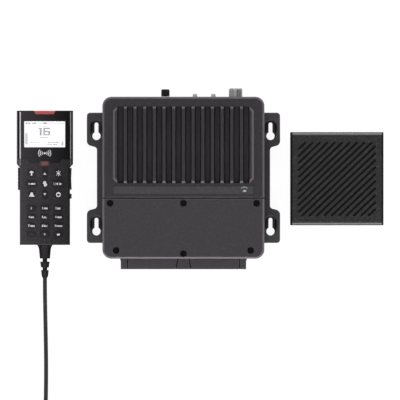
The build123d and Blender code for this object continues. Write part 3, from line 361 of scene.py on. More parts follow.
def satin(name, base, rough, grain=1400.0, depth=0.00003, drift=0.06, wear=0.25, worn=(0.12, 0.12, 0.12),
          dust=0.12, reach=0.0005, low=None, upright_light_and_shade=None, bevel_highlight=None, sideways_shade=None, top_highlight=0.0,
          shade_bands=(), **constants):
    """A moulded, coated or rubber surface: grain, drift of tone, edge abrasion, a breath of dust and some
    painted light and shade.

    low, upright_light_and_shade and bevel_highlight are painted light and shade: the tone of level faces low
    down, of upright faces and of bevels, as a share of the base. sideways_shade is painted shade: the tone at
    the right of the piece as a share of the base, and where the change starts and ends. top_highlight is how
    much painted highlight lies on the faces that tilt towards +Y. shade_bands are painted shade, dark and
    dull, each from one X, where it is full, to another, where it ends.
    """
    material, tree, shader = new_finish(name, **{"Specular_IOR_Level": 0.3, **constants})
    fine = placed(tree, "surface_grain", Grains_per_metre=grain)
    edge = placed(tree, "edge_wear_and_shading", Reach=reach)
    # Dust, and the painted highlight on faces that tilt towards +Y.
    film = placed(tree, "dust_and_top_highlight", Amount=dust)
    ground = mixed(tree, fine.outputs["Tone"], toned(base, 1 - drift), toned(base, 1 + drift))
    # Painted light and shade: level faces low down, upright faces and bevels each get their own tone.
    if low or upright_light_and_shade or bevel_highlight:
        levels = placed(tree, "painted_facing_light")
        for output, share in (("Low", low), ("Steep", upright_light_and_shade), ("Slope", bevel_highlight)):
            if share:
                ground = mixed(tree, levels.outputs[output], ground, toned(base, share))
    # Painted shade: the tone falls from the left of the piece to its right.
    if sideways_shade:
        across = placed(tree, "painted_sideways_shade", Start=sideways_shade[1], End=sideways_shade[2])
        ground = mixed(tree, across.outputs["Share"], toned(base, sideways_shade[0]), ground)
    # Edge abrasion; on the powder coats it is partly a painted highlight, and on the keys it is painted shade
    # in the gaps round them.
    wear_and_edge_shading_mask = maths(tree, "MULTIPLY", edge.outputs["Edge"], wear, clamp=True)
    ground = mixed(tree, wear_and_edge_shading_mask, ground, colour(worn))
    ground = mixed(tree, film.outputs["Dust"], ground, DUST)
    # Painted highlight on the faces that tilt towards +Y.
    if top_highlight:
        ground = mixed(tree, maths(tree, "MULTIPLY", film.outputs["Ledge"], top_highlight), ground, TOP_HIGHLIGHT_TONE)
    polish = ranged(tree, fine.outputs["Tone"], 0.0, 1.0, rough - 0.04, rough + 0.04)
    polish = maths(tree, "SUBTRACT", polish, maths(tree, "MULTIPLY", wear_and_edge_shading_mask, 0.3))
    if upright_light_and_shade:
        polish = maths(tree, "MAXIMUM", polish, levels.outputs["Steep"])
    # Painted shade: dark, dull bands from one X to another.
    for start, end in shade_bands:
        side = placed(tree, "painted_sideways_shade", Start=start, End=end).outputs["Share"]
        ground = mixed(tree, side, ground, toned(base, SHADE_BAND_TONE))
        polish = maths(tree, "MAXIMUM", polish, side)
    wired(tree, shader, Base_Color=ground, Roughness=polish)
    bumped(tree, shader, fine.outputs["Height"], 0.6, depth)
    return material


def metal(name, base, rough, lines=2600.0, around=0.05, along=1.0, depth=0.000004, painted_reflection_streaks=0.0):
    """Plated or machined metal with tool marks, a little tarnish and dark stripes along the marks, a painted
    reflection.
    """
    material, tree, shader = new_finish(name, Metallic=1.0)
    marks = placed(tree, "tool_marks", Lines_per_metre=lines, Around=around, Along=along)
    fine = placed(tree, "surface_grain", Grains_per_metre=900.0, Drift_per_metre=160.0)
    spots = ranged(tree, fine.outputs["Tone"], 0.6, 1.0, 0.0, 0.35)
    ground = mixed(tree, spots, colour(base), toned(base, 0.45))
    # Painted reflection: dark stripes along the marks stand for the dark surroundings mirrored in the metal.
    if painted_reflection_streaks:
        dark = ranged(tree, marks.outputs["Lines"], 0.56, 0.44, 0.0, painted_reflection_streaks)
        ground = mixed(tree, dark, ground, toned(base, 0.12))
    polish = ranged(tree, marks.outputs["Lines"], 0.3, 0.7, rough - 0.06, rough + 0.1)
    wired(tree, shader, Base_Color=ground, Roughness=polish)
    bumped(tree, shader, marks.outputs["Lines"], 0.4, depth)
    return material


def board_finish():
    """Green solder mask over copper tracks, with tinned pads."""
    material, tree, shader = new_finish("board_solder_mask", Coat_Roughness=0.1)
    place = own_place(tree)
    inputs = {"Vector": place, "Scale": 90.0, "Randomness": 0.35}
    cells = add(tree, "ShaderNodeTexVoronoi", inputs, feature="DISTANCE_TO_EDGE", distance="MANHATTAN")
    track = ranged(tree, cells.outputs["Distance"], 0.05, 0.09)
    pads = add(tree, "ShaderNodeTexVoronoi", {"Vector": place, "Scale": 210.0, "Randomness": 0.2})
    pad = ranged(tree, pads.outputs["Distance"], 0.14, 0.1)
    ground = mixed(tree, track, (0.05, 0.2, 0.11, 1.0), (0.02, 0.1, 0.055, 1.0))
    ground = mixed(tree, pad, ground, (0.6, 0.6, 0.57, 1.0))
    wired(tree, shader, Base_Color=ground, Metallic=pad, Roughness=ranged(tree, track, 0.0, 1.0, 0.28, 0.4))
    bumped(tree, shader, track, 0.5, 0.00003)
    return material


def display_finish(base):
    """A lit display: an even white sheet with a faint pixel grid and softer corners."""
    material, tree, shader = new_finish("lit_display_sheet", Roughness=0.35)
    place = own_place(tree)
    grid = add(tree, "ShaderNodeTexVoronoi", {"Vector": place, "Scale": 4200.0, "Randomness": 0.0},
               distance="CHEBYCHEV")
    cell = ranged(tree, grid.outputs["Distance"], 0.38, 0.5)
    slow = ranged(tree, noise(tree, place, 18.0), 0.3, 0.7)
    lit = mixed(tree, slow, toned(base, 0.97), colour(base))
    lit = mixed(tree, maths(tree, "MULTIPLY", cell, 0.05), lit, (0.45, 0.46, 0.5, 1.0))
    up = facing(tree)
    face = ranged(tree, up["Z"], 0.8, 0.95)
    wired(tree, shader, Base_Color=mixed(tree, face, (0.3, 0.3, 0.3, 1.0), (0.12, 0.12, 0.13, 1.0)),
          Emission_Color=mixed(tree, face, (0, 0, 0, 1.0), lit))
    shader.inputs["Emission Strength"].default_value = 1.0
    bumped(tree, shader, cell, 0.2, 0.000005)
    return material


def pane_finish():
    """A clear pane with faint wiping marks."""
    material, tree, shader = new_finish("clear_pane", Transmission_Weight=1.0, IOR=1.45, Metallic=0.0)
    place = own_place(tree)
    wipes = noise(tree, place, 60.0, 5.0, 0.7)
    wired(tree, shader, Roughness=ranged(tree, wipes, 0.35, 0.75, 0.015, 0.05),
          Base_Color=mixed(tree, wipes, (0.97, 0.98, 0.98, 1.0), (0.99, 0.99, 0.99, 1.0)))
    bumped(tree, shader, wipes, 0.05, 0.00001)
    return material


def middle_of(node):
    """The middle of the node's box."""
    lo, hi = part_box(node)
    return (lo + hi) / 2


def from_middle(tree, node):
    """The point as measured from the middle of the node's box."""
    inputs = {"Vector": own_place(tree), "Location": -middle_of(node)}
    return add(tree, "ShaderNodeMapping", inputs).outputs[0]


def lamp_finish(base):
    """A lit light pipe, brightest at its middle."""
    material, tree, shader = new_finish("lit_lamp_lens", Roughness=0.25)
    place = from_middle(tree, "status_lens")
    flat = add(tree, "ShaderNodeVectorMath", {0: place, 1: (1.0, 1.8, 0.0)}, operation="MULTIPLY")
    away = add(tree, "ShaderNodeVectorMath", {0: flat.outputs[0]}, operation="LENGTH").outputs["Value"]
    speckle = noise(tree, place, 2500.0, 2.0)
    glow = ranged(tree, away, 0.0004, 0.0024, 1.0, 0.0)
    glow = maths(tree, "MULTIPLY", glow, ranged(tree, speckle, 0.2, 0.8, 0.9, 1.0))
    wired(tree, shader, Emission_Color=mixed(tree, glow, colour(base), (0.51, 0.53, 0.515, 1.0)),
          Base_Color=mixed(tree, glow, (0.06, 0.13, 0.09, 1.0), (0.18, 0.30, 0.23, 1.0)))
    shader.inputs["Emission Strength"].default_value = 0.56
    bumped(tree, shader, speckle, 0.2, 0.00001)
    return material


def red_key_finish():
    """The red key: a red window in an olive-grey rubber frame."""
    material, tree, shader = new_finish("red_window_key", Specular_IOR_Level=0.16)
    place = axes(tree, from_middle(tree, "key_red"))
    across, along = (maths(tree, "ABSOLUTE", place[axis]) for axis in "XY")
    window = maths(tree, "MULTIPLY", ranged(tree, across, 0.0043, 0.0031),
                   ranged(tree, along, 0.0025, 0.0014))
    fine = placed(tree, "surface_grain", Grains_per_metre=1800.0, Drift_per_metre=240.0)
    red = mixed(tree, fine.outputs["Tone"], (0.19, 0.054, 0.075, 1.0), (0.22, 0.068, 0.09, 1.0))
    olive = mixed(tree, fine.outputs["Tone"], (0.038, 0.042, 0.033, 1.0), (0.048, 0.052, 0.042, 1.0))
    wired(tree, shader, Base_Color=mixed(tree, window, olive, red),
          Roughness=ranged(tree, fine.outputs["Tone"], 0, 1, 0.5, 0.62))
    bumped(tree, shader, fine.outputs["Height"], 0.5, 0.00002)
    return material


def make_finishes(tints):
    """Every material, by the name of its slot in the record or of its own piece."""
    # Painted shade: the handset's finishes fall to this share of their tone from its left side to its right.
    across = (0.34, *HANDSET_SIDES)
    lo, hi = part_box("speaker_grille")
    # Painted shade: dark, dull bands along the left and right edges of the speaker's front.
    shaded_sides = ((lo.x + 1.15 * MM, lo.x + 1.45 * MM), (hi.x - 1.15 * MM, hi.x - 1.45 * MM))
    # The pale edge colour of the powder coats is edge abrasion and partly a painted highlight on the bevels.
    coat = {"rough": 0.5, "grain": 1500.0, "drift": 0.03, "wear": 0.5, "worn": (0.16, 0.16, 0.17),
            "dust": 0.06}
    laid = {"grain": 2600.0, "depth": 0.000006, "drift": 0.03, "wear": 0.0, "dust": 0.0}
    line = {**laid, "depth": 0.000004}
    return {
        # Painted light: the box's low level faces are lightened against the shade of its walls, and the
        # bevels of box and cover are lightened as a painted highlight.
        "die_cast_paint": satin("die_cast_powder_coat", tints.paint, low=2.65, bevel_highlight=4.0, **coat),
        "cover_paint": satin("cover_powder_coat", [c * 1.6 for c in tints.paint], bevel_highlight=2.9, **coat),
        "black_steel": metal("blackened_steel", (0.010, 0.010, 0.011), 0.5, 3000.0, 1.0),
        "seal_rubber": satin("seal_rubber_black", TINT_OF["seal_rubber"], 0.7, 900.0, wear=0.0),
        "circuit_board": board_finish(),
        "tinned_steel": metal("tinned_steel_sheet", TINT_OF["tinned_steel"], 0.32, 1800.0, 0.08),
        "terminal_plastic": satin("terminal_green", TINT_OF["terminal_plastic"], 0.45, 1200.0, wear=0.1),
        "gland_rubber": satin("gland_rubber_grey", TINT_OF["gland_rubber"], 0.72, 800.0, 0.00006, 0.1, 0.1),
        "nickel_plate": metal("nickel_plate_turned", (0.60, 0.60, 0.59), 0.5, 2400.0, 0.02),
        # Painted reflection in the dark stripes of the antenna socket.
        "socket_metal": metal("socket_drawn_and_plated", (0.54, 0.54, 0.535), 0.42, 700.0, 1.0, 0.02,
                              painted_reflection_streaks=0.9),
        "white_insulator": satin("insulator_white", TINT_OF["white_insulator"], 0.35, 900.0, 0.00001, 0.03,
                                 0.0),
        "cap_rubber": satin("cap_rubber_black", (0.0115, 0.0115, 0.0115), 0.62, 1100.0, 0.00004, 0.1, 0.2,
                            Specular_IOR_Level=0.119),
        "lamp_lens": lamp_finish(tints.lamp),
        # Painted light and shade on the handset: upright faces lightened, and the tone falling from left to
        # right.
        "handset_plastic": satin("handset_moulding", tints.moulding, 0.5, 2100.0, 0.00001, 0.03, 0.1,
                                 upright_light_and_shade=1.3, sideways_shade=across, Specular_IOR_Level=0.108),
        # Painted shade on the bezel: its upright walls darkened and its tone falling to black towards the
        # right.
        "bezel_gloss": satin("bezel_piano_black", (0.036, 0.031, 0.0355), 0.14, 600.0, 0.000002, 0.04, 0.1,
                             dust=0.0, upright_light_and_shade=0.05, sideways_shade=(0.0, *BEZEL_SIDES), Specular_IOR_Level=0.11),
        "window_clear": pane_finish(),
        "lcd_face": display_finish(tints.display),
        # Painted shade on the keys: near-black rims stand for the shade in the gaps round them, and the tone
        # falls off from left to right.
        "key_rubber": satin("key_rubber_dark", tints.key, 0.55, 1900.0, 0.00001, 0.04, 2.2,
                            (0.002, 0.002, 0.002), 0.0, 0.0011, sideways_shade=across, Specular_IOR_Level=0.162),
        "key_red_rubber": red_key_finish(),
        "button_rubber": satin("side_button_rubber", (0.016, 0.016, 0.017), 0.6, 1500.0, 0.00003, 0.08, 0.2),
        "distress_red": satin("distress_red_moulding", tints.distress, 0.34, 2100.0, 0.00001, 0.05, 0.2,
                              (0.6, 0.2, 0.2)),
        "cord_rubber": satin("cord_jacket", (0.020, 0.020, 0.0203), 0.48, 1300.0, 0.00002, 0.08, 0.05,
                             Specular_IOR_Level=0.14),
        "plug_plastic": satin("plug_moulding", TINT_OF["plug_plastic"], 0.5, 1200.0, 0.00003, 0.06, 0.2),
        # Painted light and shade on the speaker's front: bevels lightened, its +Y bevel lightened further,
        # and dark bands along its sides.
        "speaker_plastic": satin("speaker_front_moulding", tints.speaker, 0.40, 1900.0, 0.00001, 0.03, 0.25,
                                 top_highlight=0.2, bevel_highlight=12.0, shade_bands=shaded_sides, Specular_IOR_Level=0.27),
        "speaker_black": satin("speaker_back_moulding", (0.006, 0.006, 0.006), 0.6, 1700.0, 0.00003, 0.06,
                               0.1, Specular_IOR_Level=0.081),
        "magnet_steel": metal("magnet_zinc", TINT_OF["magnet_steel"], 0.5, 1500.0, 0.3),
        "cone_paper": satin("cone_treated_paper", (0.03, 0.03, 0.031), 0.75, 500.0, 0.00008, 0.2, 0.0),
        "scrim_cloth": satin("speaker_scrim_cloth", (0.085, 0.078, 0.085), 0.9, 2600.0, 0.0001, 0.15, 0.0,
                             dust=0.0, Specular_IOR_Level=0.054),
        # Painted shade on the bend relief: its upright sides darkened.
        "relief_rubber": satin("bend_relief_rubber", (0.0165, 0.0150, 0.0160), 0.6, 1300.0, 0.00002, 0.08,
                               0.05, upright_light_and_shade=0.5, Specular_IOR_Level=0.135),
        "print_white": satin("legend_print", tints.print_white, 0.55, **laid),
        "print_keypad": satin("legend_print_keypad", (0.54, 0.54, 0.55), 0.55, **laid),
        "print_dark": satin("legend_print_dark", (0.10, 0.10, 0.105), 0.6, **laid),
        "print_dim": satin("legend_print_dim", (0.32, 0.32, 0.325), 0.6, **laid),
        "display_ink": satin("display_ink", tints.ink, 0.6, 2600.0, 0.000004, 0.04, 0.0, dust=0.0),
        "label_film": satin("label_film", [c * 2.1 for c in tints.paint], 0.36, 2600.0, 0.000008, 0.03,
                            0.1),
        "tie_fabric": satin("tie_hook_and_loop", (0.02, 0.02, 0.022), 0.85, 700.0, 0.0002, 0.25, 0.0,
                            dust=0.2),
        # Painted highlights: light strips stand in for the shine on the bezel's and shell's shoulders, the
        # right one dimmer.
        "bezel_painted_highlight": satin("bezel_side_painted_highlight", (0.56, 0.55, 0.56), 0.35, sideways_shade=(0.35, *HANDSET_SIDES),
                            **line),
        "shell_painted_highlight": satin("shell_side_painted_highlight", (0.16, 0.155, 0.16), 0.45, sideways_shade=(0.5, *HANDSET_SIDES),
                            **line),
    }


# Nodes whose finish isn't the one of their slot.
OWN_FINISH = {"wiring_cover": "cover_paint", "antenna_socket": "socket_metal",
              "strain_relief": "relief_rubber"}
FINISHES = {}


def dress(piece, finish):
    """The piece shows this finish all over."""
    piece.data.materials.clear()
    piece.data.materials.append(FINISHES[finish])


# ---------------------------------------------------------------- modelling helpers
def context_object(name):
    """The object that was just added, named."""
    piece = bpy.context.object
    piece.name = name
    return piece


def clear_selection():
    """Nothing is selected and Blender is in object mode."""
    if bpy.context.object and bpy.context.object.mode != "OBJECT":
        bpy.ops.object.mode_set(mode="OBJECT")
    bpy.ops.object.select_all(action="DESELECT")


def only(piece):
    """This piece alone is selected and active."""
    clear_selection()
    piece.select_set(True)
    bpy.context.view_layer.objects.active = piece


def edit(piece, *steps):
    """Runs the steps in edit mode with the whole mesh selected."""
    only(piece)
    bpy.ops.object.mode_set(mode="EDIT")
    bpy.ops.mesh.select_all(action="SELECT")
    for step in steps:
        step()
    bpy.ops.object.mode_set(mode="OBJECT")


def settle(piece):
    """Moves the piece's place into its mesh, so that its object is at the origin."""
    only(piece)
    bpy.ops.object.transform_apply(location=True, rotation=True, scale=True)


def joined(pieces):
    """Several pieces as one."""
    clear_selection()
    for piece in pieces:
        piece.select_set(True)
    bpy.context.view_layer.objects.active = pieces[0]
    if len(pieces) > 1:
        bpy.ops.object.join()
    return bpy.context.object


def plate(corners, radius, at, turn=0.0, stretch=(1.0, 1.0)):
    """A flat many-sided face, ready to be given thickness."""
    clear_selection()
    bpy.ops.mesh.primitive_circle_add(vertices=corners, radius=radius, fill_type="NGON",
                                      location=(at[0], at[1], 0.0), rotation=(0.0, 0.0, turn))
    face = bpy.context.object
    face.scale = (stretch[0], stretch[1], 1.0)
    settle(face)
    return face


def bar(w, h, at, turn=0.0):
    """A flat rectangle."""
    clear_selection()
    bpy.ops.mesh.primitive_plane_add(size=1.0, location=(at[0], at[1], 0.0))
    face = bpy.context.object
    face.scale = (w, h, 1.0)
    face.rotation_euler = (0.0, 0.0, turn)
    settle(face)
    return face


def block(x0, y0, x1, y1):
    """A flat rectangle between two corners in millimetres."""
    return bar((x1 - x0) * MM, (y1 - y0) * MM, ((x0 + x1) / 2 * MM, (y0 + y1) / 2 * MM))


def disc(r, x=0.0, y=0.0, wide=1.0, corners=24):
    """A flat disc in millimetres, as wide as asked."""
    return plate(corners, r * MM, (x * MM, y * MM), stretch=(wide, 1.0))


def arrow(r, x, y, turn=0.0, wide=1.0):
    """A flat arrow head in millimetres that points up before its turn."""
    return plate(3, r * MM, (x * MM, y * MM), turn, (wide, 1.0))


def ring(outer, inner, at, corners=28, stretch=(1.0, 1.0)):
    """A flat ring, made by an inset whose middle is deleted."""
    face = plate(corners, outer, at, stretch=stretch)
    edit(face, lambda: bpy.ops.mesh.inset(thickness=outer - inner), lambda: bpy.ops.mesh.delete(type="FACE"))
    return face


def word(text, size, at, align="CENTER", bold=0.0, wide=1.0):
    """A flat word that starts or centres at the point."""
    clear_selection()
    bpy.ops.object.text_add()
    letters = bpy.context.object
    letters.data.body = text
    letters.data.size = size
    letters.data.align_x = align
    letters.data.resolution_u = 3
    letters.data.offset = bold
    bpy.ops.object.convert(target="MESH")
    flat = bpy.context.object
    flat.location = (at[0], at[1], 0.0)
    flat.scale = (wide, 1.0, 1.0)
    settle(flat)
    return flat


def trim(face, low, high):
    """Cuts away what lies outside the two heights in Y."""
    for y, clear_low in ((low, True), (high, False)):
        edit(face, lambda: bpy.ops.mesh.bisect(plane_co=(0.0, y, 0.0), plane_no=(0.0, 1.0, 0.0),
                                               clear_inner=clear_low, clear_outer=not clear_low))
    return face


def raised(faces, name, z, thickness, at=(0.0, 0.0)):
    """Flat shapes as one thin closed piece that stands on the height z."""
    piece = joined(faces)
    piece.name = name
    piece.location = (at[0], at[1], z)
    settle(piece)
    edit(
        piece,
        lambda: bpy.ops.mesh.remove_doubles(threshold=0.000002),
        lambda: bpy.ops.mesh.extrude_region_move(TRANSFORM_OT_translate={"value": (0.0, 0.0, thickness)}),
        lambda: bpy.ops.mesh.select_all(action="SELECT"),
        lambda: bpy.ops.mesh.normals_make_consistent(inside=False),
    )
    return piece


def merged(piece):
    """The piece's overlapping solids as one skin."""
    edit(piece, lambda: bpy.ops.mesh.intersect_boolean(operation="UNION", use_self=True, solver="EXACT"))
    return piece


def shaped(piece, **modifiers):
    """Adds each modifier with its settings and applies it."""
    only(piece)
    for kind, settings in modifiers.items():
        modifier = piece.modifiers.new(kind, kind.upper())
        for key, value in settings.items():
            setattr(modifier, key, value)
        bpy.ops.object.modifier_apply(modifier=kind)
    return piece


def rounded(piece, width, segments=2):
    """The piece with its sharp edges rounded."""
    return shaped(piece, bevel={"width": width, "segments": segments, "limit_method": "ANGLE"})


def put(piece, finish, body):
    """The finished piece gets its finish and rides on its body."""
    dress(piece, finish)
    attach(piece, body)
    return piece


# ---------------------------------------------------------------- camera and cord
class RADIO_OT_camera(Operator):
    """Hang the camera straight over the set"""

    bl_idname = "radio.camera"
    bl_label = "Camera"

    def execute(self, context):
        stage = context.scene.radio_stage
        clear_selection()
        place = (stage.camera_x, stage.camera_y, stage.camera_z)
        bpy.ops.object.camera_add(location=place, rotation=(0, 0, 0))
        camera = context.object
        camera.name = "overhead_camera"
        camera.data.lens = stage.lens
        camera.data.sensor_width = 36.0
        camera.data.clip_end = 60.0
        context.scene.camera = camera
        return {"FINISHED"}


# The same points as the route of the source's cord tube.
CORD_START_X = -166.75
CORD_ROUTE = [
    (0.0, -120.5, 11.0), (0.0, -136.0, 11.0), (0.2, -153.0, 7.6), (0.5, -172.0, 3.7), (0.9, -194.0, 2.6),
    (1.3, -222.0, 2.5), (1.2, -249.0, 2.5), (0.8, -272.0, 2.5), (0.9, -293.0, 2.5),
]
TAIL_TURN = 300.0
TAIL_STEPS = ((15.0, 2.9), (28.0, 2.5), (42.0, 7.2), (56.0, 7.2))
TIE_TURN = 20.0


def coil_layers(radius, d):
    """Where the cord lies in the coil's section, as (angle so far, radius, height), turn after turn."""
    inner, outer = radius - d, radius + d
    low, mid, top = d / 2, 1.5 * d, 2.5 * d
    places = [(radius, low), (inner, low), (inner, mid), (inner, top), (radius, top), (radius, mid)]
    starts = [250.0, 545.0, 865.0, 1185.0, 1505.0, 1825.0]
    leaves = [505.0, 825.0, 1145.0, 1465.0, 1785.0, 2105.0]
    stops = [(186.0, outer + 0.1 * d, low)]
    for (r, z), start, leave in zip(places, starts, leaves):
        stops += [(start, r, z), (leave, r, z)]
    stops += [(2125.0, radius + 0.72 * d, low + 0.72 * d), (2145.0, outer, low), (2282.0, outer, low)]
    stops += [(2312.0, outer, mid + 0.1 * d), (2412.0, outer, mid + 0.1 * d), (2452.0, outer, 0.8 * d)]
    return stops


def coil_points(cord):
    """The coil's control points, worked out turn by turn."""
    stops = coil_layers(cord.coil_r, cord.diameter)
    swell = 1 / math.cos(math.pi / cord.steps)
    points = []
    angle, last = stops[0][0], stops[-1][0]
    while angle <= last:
        for (a, ra, za), (b, rb, zb) in zip(stops, stops[1:]):
            if a <= angle <= b:
                t = (angle - a) / (b - a)
                r, z = ra + (rb - ra) * t, za + (zb - za) * t
        turn = math.radians(angle)
        x, y = cord.coil_x + r * swell * math.cos(turn), cord.coil_y + r * swell * math.sin(turn)
        points.append((x, y, z))
        angle += 360.0 / cord.steps
    return points


def tail_points(cord):
    """The tail's points, from the coil to the plug."""
    turn = math.radians(TAIL_TURN)
    r = cord.coil_r + cord.diameter
    x, y = cord.coil_x + r * math.cos(turn), cord.coil_y + r * math.sin(turn)
    return [(x - t * MM * math.sin(turn), y + t * MM * math.cos(turn), z * MM) for t, z in TAIL_STEPS]


class RADIO_OT_cord(Operator):
    """Lay the handset's cord, wind its spare length into a coil and tie it"""

    bl_idname = "radio.cord"
    bl_label = "Cord and coil"

    def execute(self, context):
        cord = context.scene.radio_cord
        route = [((CORD_START_X + x) * MM, y * MM, z * MM) for x, y, z in CORD_ROUTE]
        points = route + coil_points(cord) + tail_points(cord)
        curve = bpy.data.curves.new("handset_cord", "CURVE")
        curve.dimensions = "3D"
        line = curve.splines.new("NURBS")
        line.points.add(len(points) - 1)
        for point, place in zip(line.points, points):
            point.co = (*place, 1.0)
        line.order_u = 3
        line.use_endpoint_u = True
        line.resolution_u = 4
        curve.bevel_depth = cord.diameter / 2
        curve.bevel_resolution = 4
        curve.use_fill_caps = True
        piece = bpy.data.objects.new("handset_cord", curve)
        context.scene.collection.objects.link(piece)
        dress(piece, "cord_rubber")
        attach(piece, "handset")
        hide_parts("cord_run", "cord_coil")
        tie = self.strap(cord)
        return {"FINISHED"}

    def strap(self, cord):
        """The hook-and-loop strap round the coil's turns."""
        turn = math.radians(TIE_TURN)
        wide, high = 3 * cord.diameter + 1.6 * MM, 3 * cord.diameter + 0.9 * MM
        x, y = cord.coil_x + cord.coil_r * math.cos(turn), cord.coil_y + cord.coil_r * math.sin(turn)
        clear_selection()
        bpy.ops.mesh.primitive_cube_add(size=1.0, location=(x, y, high / 2), rotation=(0.0, 0.0, turn))
        strap = context_object("coil_tie")
        strap.scale = (wide, cord.tie, high)
        only(strap)
        bpy.ops.object.transform_apply(location=False, rotation=False, scale=True)
        # In vertex mode, two opposite faces would select every face of the block.
        edit(strap, lambda: bpy.ops.mesh.select_mode(type="FACE"))
        for face in strap.data.polygons:
            face.select = abs(face.normal.y) > 0.9
        bpy.ops.object.mode_set(mode="EDIT")
        bpy.ops.mesh.delete(type="FACE")
        bpy.ops.mesh.select_mode(type="VERT")
        edit(strap, lambda: bpy.ops.mesh.subdivide(number_cuts=3))
        shaped(strap, solidify={"thickness": 0.5 * MM, "offset": -1.0})
        rounded(strap, 1.6 * MM, 3)
        settle(strap)
        return put(strap, "tie_fabric", "handset")


# ---------------------------------------------------------------- finishes on the CAD nodes
class RADIO_OT_finishes(Operator):
    """Make every finish and put one on each node of the frame"""

    bl_idname = "radio.finishes"
    bl_label = "Finishes"

    def execute(self, context):
        for build in (build_grain, build_edge_wear_and_shading, build_dust_and_top_highlight, build_tool_marks, build_painted_facing_light,
                      build_painted_sideways_shade):
            build()
        FINISHES.update(make_finishes(context.scene.radio_tints))
        for name, node in frame["nodes"].items():
            dress(node, OWN_FINISH.get(name, SLOT_OF[name]))
        return {"FINISHED"}


# ---------------------------------------------------------------- transceiver details
class RADIO_OT_label_film(Operator):
    """Lay the thin film under the ribs, with its hole for the lamp and the power symbol over it"""

    bl_idname = "radio.label_film"
    bl_label = "Label film and power symbol"

    def execute(self, context):
        size = context.scene.radio_printing
        lo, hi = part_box("status_lens")
        middle = middle_of("status_lens")
        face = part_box("wiring_cover")[1].z
        sheet = bar(2 * size.film_x, size.film_h, (0.0, size.film_y))
        film = raised([sheet], "label_film", face, size.film_t)
        rounded(film, 0.05 * MM)
        clear_selection()
        bpy.ops.mesh.primitive_cylinder_add(vertices=40, radius=0.5, depth=4 * MM,
                                            location=(middle.x, middle.y, face))
        cutter = context_object("lamp_hole")
        cutter.scale = (hi.x - lo.x + 0.5 * MM, hi.y - lo.y + 0.5 * MM, 1.0)
        settle(cutter)
        shaped(film, boolean={"operation": "DIFFERENCE", "object": cutter, "solver": "EXACT"})
        bpy.data.objects.remove(cutter)
        put(film, "label_film", "transceiver")
        arc = trim(ring(4.1 * MM, 3.2 * MM, (0.0, 0.0), 40, (1.0, 0.62)), 0.2 * MM, 9 * MM)
        stem = block(-0.4, 0.75, 0.4, 2.45)
        symbol = raised([arc, stem], "power_symbol", face + size.film_t, size.thickness,
                        (middle.x - 0.4 * MM, hi.y + 1.5 * MM))
        put(symbol, "print_dim", "transceiver")
        return {"FINISHED"}


# Lengths of the thread's flanks, crests and roots as shares of its pitch, and its inside wall's radius as
# a share of the root's.
FLANK, CREST_FLAT, ROOT_FLAT = 0.42, 0.10, 0.06
INSIDE_SHARE = 0.97


class RADIO_OT_socket_thread(Operator):
    """Turn the outside thread of the antenna socket"""

    bl_idname = "radio.socket_thread"
    bl_label = "Antenna socket thread"

    def execute(self, context):
        thread = context.scene.radio_thread
        centre = Vector((thread.x, thread.start, thread.z))
        clear_selection()
        bpy.ops.mesh.primitive_circle_add(vertices=64, radius=thread.root, location=centre,
                                          rotation=(math.pi / 2, 0.0, 0.0))
        piece = context_object("socket_thread")
        settle(piece)
        crest = thread.crest / thread.root
        steps = []
        for _ in range(thread.turns):
            steps += [(FLANK * thread.pitch, crest), (CREST_FLAT * thread.pitch, 1.0),
                      (FLANK * thread.pitch, 1 / crest), (ROOT_FLAT * thread.pitch, 1.0)]
        steps += [(0.0, INSIDE_SHARE), (-thread.turns * thread.pitch, 1.0), (0.0, 1 / INSIDE_SHARE)]

        def draw_profile():
            for along, share in steps:
                bpy.ops.mesh.extrude_region_move(TRANSFORM_OT_translate={"value": (0.0, along, 0.0)})
                bpy.ops.transform.resize(value=(share, 1.0, share), center_override=centre)

        edit(
            piece,
            draw_profile,
            lambda: bpy.ops.mesh.select_all(action="SELECT"),
            lambda: bpy.ops.mesh.remove_doubles(threshold=0.000004),
            lambda: bpy.ops.mesh.normals_make_consistent(inside=False),
        )
        bpy.ops.object.shade_smooth_by_angle(angle=math.radians(25.0))
        put(piece, "socket_metal", "transceiver")
        return {"FINISHED"}


# ---------------------------------------------------------------- handset details
def sun():
    """A small disc with eight thin rays."""
    rays = []
    for k in range(8):
        turn, long = k * math.pi / 4, (2.7, 2.9, 1.3)[2 if k in (2, 6) else k % 2]
        middle = (0.8 + long / 2) * MM
        rays.append(bar(0.6 * MM, long * MM, (middle * math.sin(turn), middle * math.cos(turn)), -turn))
    return [disc(0.95, corners=16)] + rays


def mushroom():
    """A wide arrow head with a soft top, on a stem."""
    return [trim(disc(2.8, 0, 0.0, 0.95, 32), 0.55 * MM, 4 * MM), block(-0.9, -2.8, 0.9, 0.7)]


def handset_sign():
    """A rounded sign with two lobes."""
    lobes = [disc(2.0, -0.3, 1.2), disc(1.8, 0.4, -1.5)]
    return lobes + [block(-2.6, -0.1, -0.5, 0.9), block(0.6, -1.0, 2.8, 0.1)]


QUARTER = math.pi / 2

